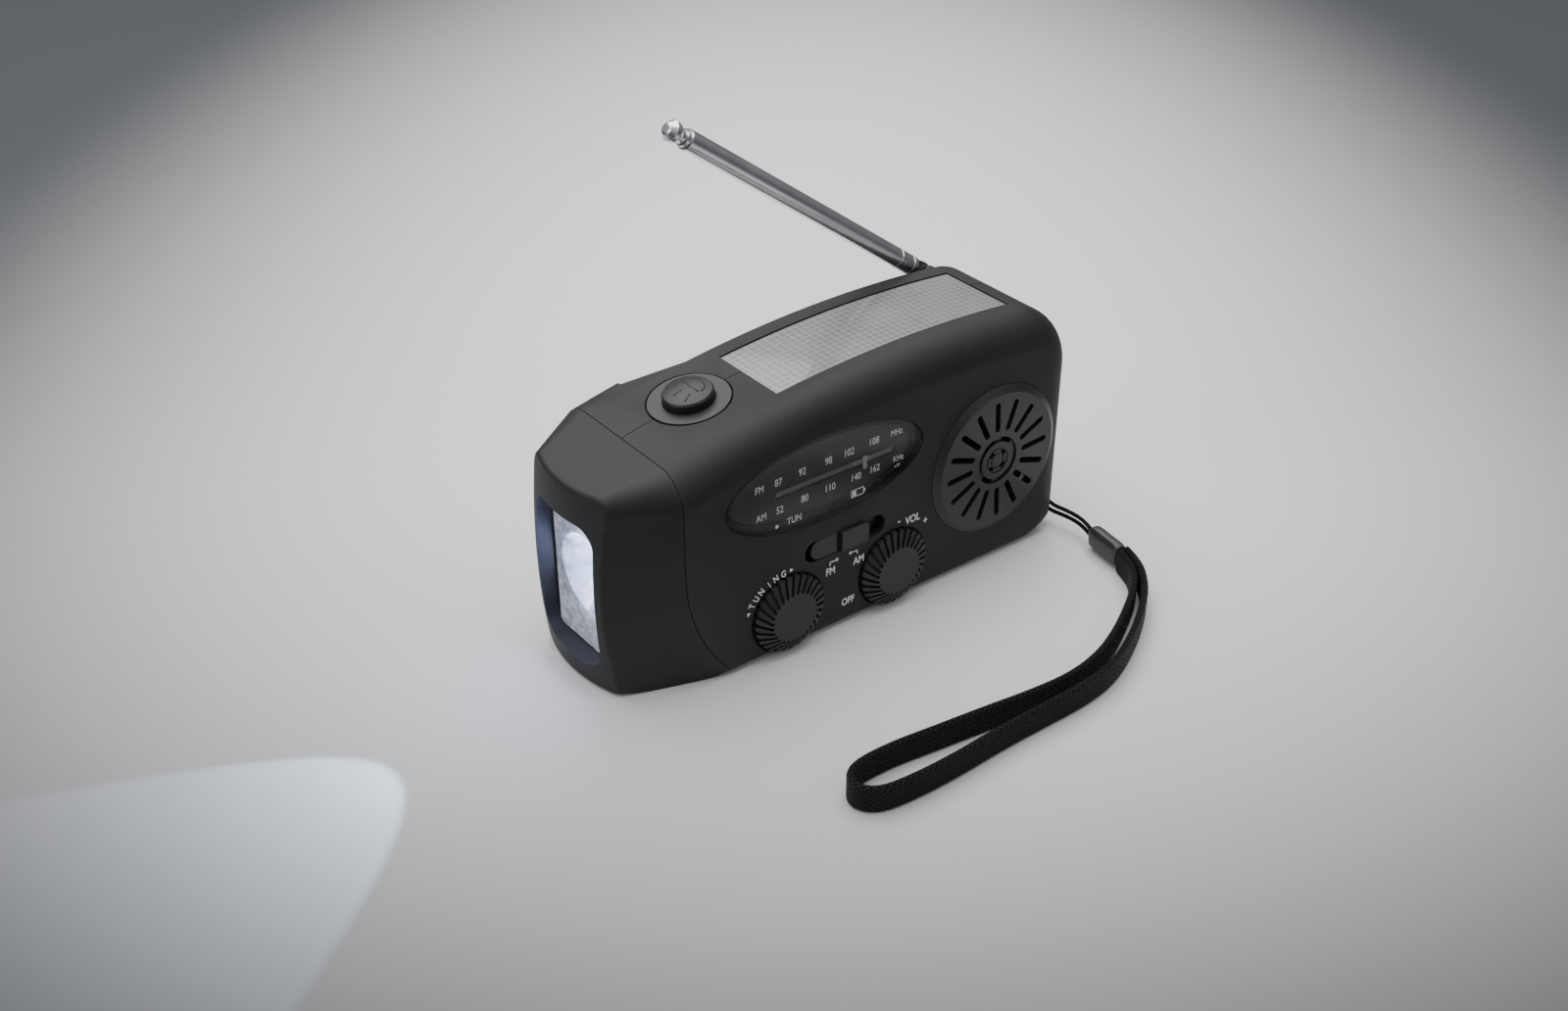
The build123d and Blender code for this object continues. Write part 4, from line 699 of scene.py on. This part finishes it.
def raised(name, lines, radius):
    """Thin raised lines on the dome, in dark plastic: painted shade, so that they read as
    engraved.
    """
    mesh = bmesh.new()
    turns = [2 * pi * k / LINE_SIDES for k in range(LINE_SIDES)]
    for line in lines:
        rows = []
        for point, ahead in headings([on_dome(u, v) * MM for u, v in line]):
            side = ahead.normalized().cross(up).normalized()
            rows.append([mesh.verts.new(point + radius * MM * (side * cos(a) + up * sin(a)))
                         for a in turns])
        for a, b in zip(rows, rows[1:]):
            for k in range(LINE_SIDES):
                j = (k + 1) % LINE_SIDES
                mesh.faces.new((a[k], a[j], b[j], b[k]))
        mesh.faces.new(rows[0])
        mesh.faces.new(rows[-1])
    # The dark plastic on these lines is painted shade, as of engraved grooves.
    return add(name, closed(name, mesh), "button", DARK)


# A lamp's bowl as an arc and its chord, and three rays.
arc = [(0.9 + 2.9 * cos(radians(a)), 3.3 * sin(radians(a))) for a in range(-78, 79, 12)]
chord = [(0.9, -3.0), (0.6, 0.0), (0.9, 3.0)]
rays = [[(x, y), (x - 2.3 * cos(radians(b)), y + 2.3 * sin(radians(b)))]
        for x, y, b in ((-0.9, -2.4, -26), (-1.2, 0.0, 0), (-0.9, 2.4, 26))]
raised("button_sign", [arc, chord] + rays, 0.2)

# ---------------------------------------------------------------- stage
FLOOR_HALF = 3.0
FLOOR_DROP = 0.00005        # keeps the floor clear of the radio's flat underside
# A painted pool of light on the floor round the radio, and painted shade away from it.
PAINTED_LIGHT_CENTRE = (0.045, 0.044, 0)
PAINTED_LIGHT_SIDE, PAINTED_LIGHT_BACK, PAINTED_LIGHT_FRONT = 0.27, 0.62, 0.24     # metres, as the camera faces it
PAINTED_SHADE_EDGE = (0.22, 1.12)    # shares of those reaches where the painted shade starts and is full
PALE_FLOOR = (0.74, 0.735, 0.74, 1)
PAINTED_SHADE_FLOOR = (0.045, 0.048, 0.052, 1)


def floor_with_painted_light():
    """Pale matt paint with a painted pool of light round the radio and painted shade away from it.
    """
    made = Nodes(bpy.data.materials.new("floor_with_painted_light"))
    place = made.place()
    turned = made.add("ShaderNodeVectorRotate", rotation_type="Z_AXIS",
                      Vector=made.vector("SUBTRACT", place, PAINTED_LIGHT_CENTRE),
                      Angle=radians(-CAMERA_AZIMUTH))
    parts = made.axes(turned.outputs[0])
    deep = made.maths("MAXIMUM", made.maths("DIVIDE", parts["Y"], PAINTED_LIGHT_BACK),
                      made.maths("DIVIDE", parts["Y"], -PAINTED_LIGHT_FRONT))
    wide = made.maths("DIVIDE", parts["X"], PAINTED_LIGHT_SIDE)
    away = made.vector("LENGTH", made.add("ShaderNodeCombineXYZ", wide, deep).outputs[0])
    painted_shade = made.mapped(away, 0.0, 1.0, *PAINTED_SHADE_EDGE, interpolation_type="SMOOTHSTEP")
    return made.paint(Base_Color=made.mix(painted_shade, PALE_FLOOR, PAINTED_SHADE_FLOOR),
                      Roughness=made.mapped(made.noise(place, FLOOR_CLOUD, 3.0), 0.78, 0.84))


floor_mesh = bpy.data.meshes.new("floor")
corners = [(x * FLOOR_HALF, y * FLOOR_HALF, 0) for x, y in ((-1, -1), (1, -1), (1, 1), (-1, 1))]
floor_mesh.from_pydata(corners, [], [(0, 1, 2, 3)])
floor_mesh.materials.append(floor_with_painted_light())
floor = placed("floor", floor_mesh)
floor.location.z = -FLOOR_DROP


def light(name, kind, power, colour, place, direction=Vector((0, 0, -1))):
    """A light, and its data for what only that kind of light has."""
    data = bpy.data.lights.new(name, kind)
    data.energy = power
    data.color = colour
    aim(placed(name, data), place, direction)
    return data


def area(name, place, target, wide, power, colour=(1, 1, 1)):
    """A square soft light that faces a target."""
    data = light(name, "AREA", power, colour, place, Vector(target) - Vector(place))
    data.shape = "RECTANGLE"
    data.size, data.size_y = wide, wide


area("overhead", (0.05, 0.25, 0.80), (0, 0.0, 0.02), 1.1, 13.0)
area("left_soft", (-0.75, 0.05, 0.45), (0, 0, 0.03), 0.5, 1.6, (0.97, 0.98, 1.0))
area("front_soft", (0.35, -0.85, 0.55), (0, 0, 0.03), 0.6, 0.6)

# The lit torch: a glow inside its bowl, and the cone that it throws on the floor.
LAMP_CLEAR = 3 * MM         # how far each stands in front of the piece that it belongs to
BEAM_ANGLE = 53
BEAM_WAY = Vector((-1, -0.13, 0))
lamp_low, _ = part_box("torch_led")
lamp_z = middle("torch_led").z
glow = light("torch_glow", "POINT", 0.0030, (0.10, 0.16, 1.0),
             Vector((lamp_low.x - LAMP_CLEAR, 0, lamp_z)))
glow.shadow_soft_size = 2.0 * MM
beam = light("torch_beam", "SPOT", 0.9, (0.62, 0.78, 1.0),
             Vector((middle("torch_lens").x - LAMP_CLEAR, 0, lamp_z)), BEAM_WAY)
beam.spot_size = radians(BEAM_ANGLE)
beam.spot_blend = 0.12
beam.shadow_soft_size = 0.5 * MM

# A cool sky that is brighter overhead.
world = bpy.data.worlds.new("studio")
sky = Nodes(world)
height = sky.axes(sky.place("Generated"))["Z"]
background = sky.nodes["Background"]
sky.feed(background.inputs["Strength"], sky.mapped(height, 0.16, 0.75, 0.15, 0.95))
sky.feed(background.inputs["Color"], (0.95, 0.96, 1.0, 1))
bpy.context.scene.world = world
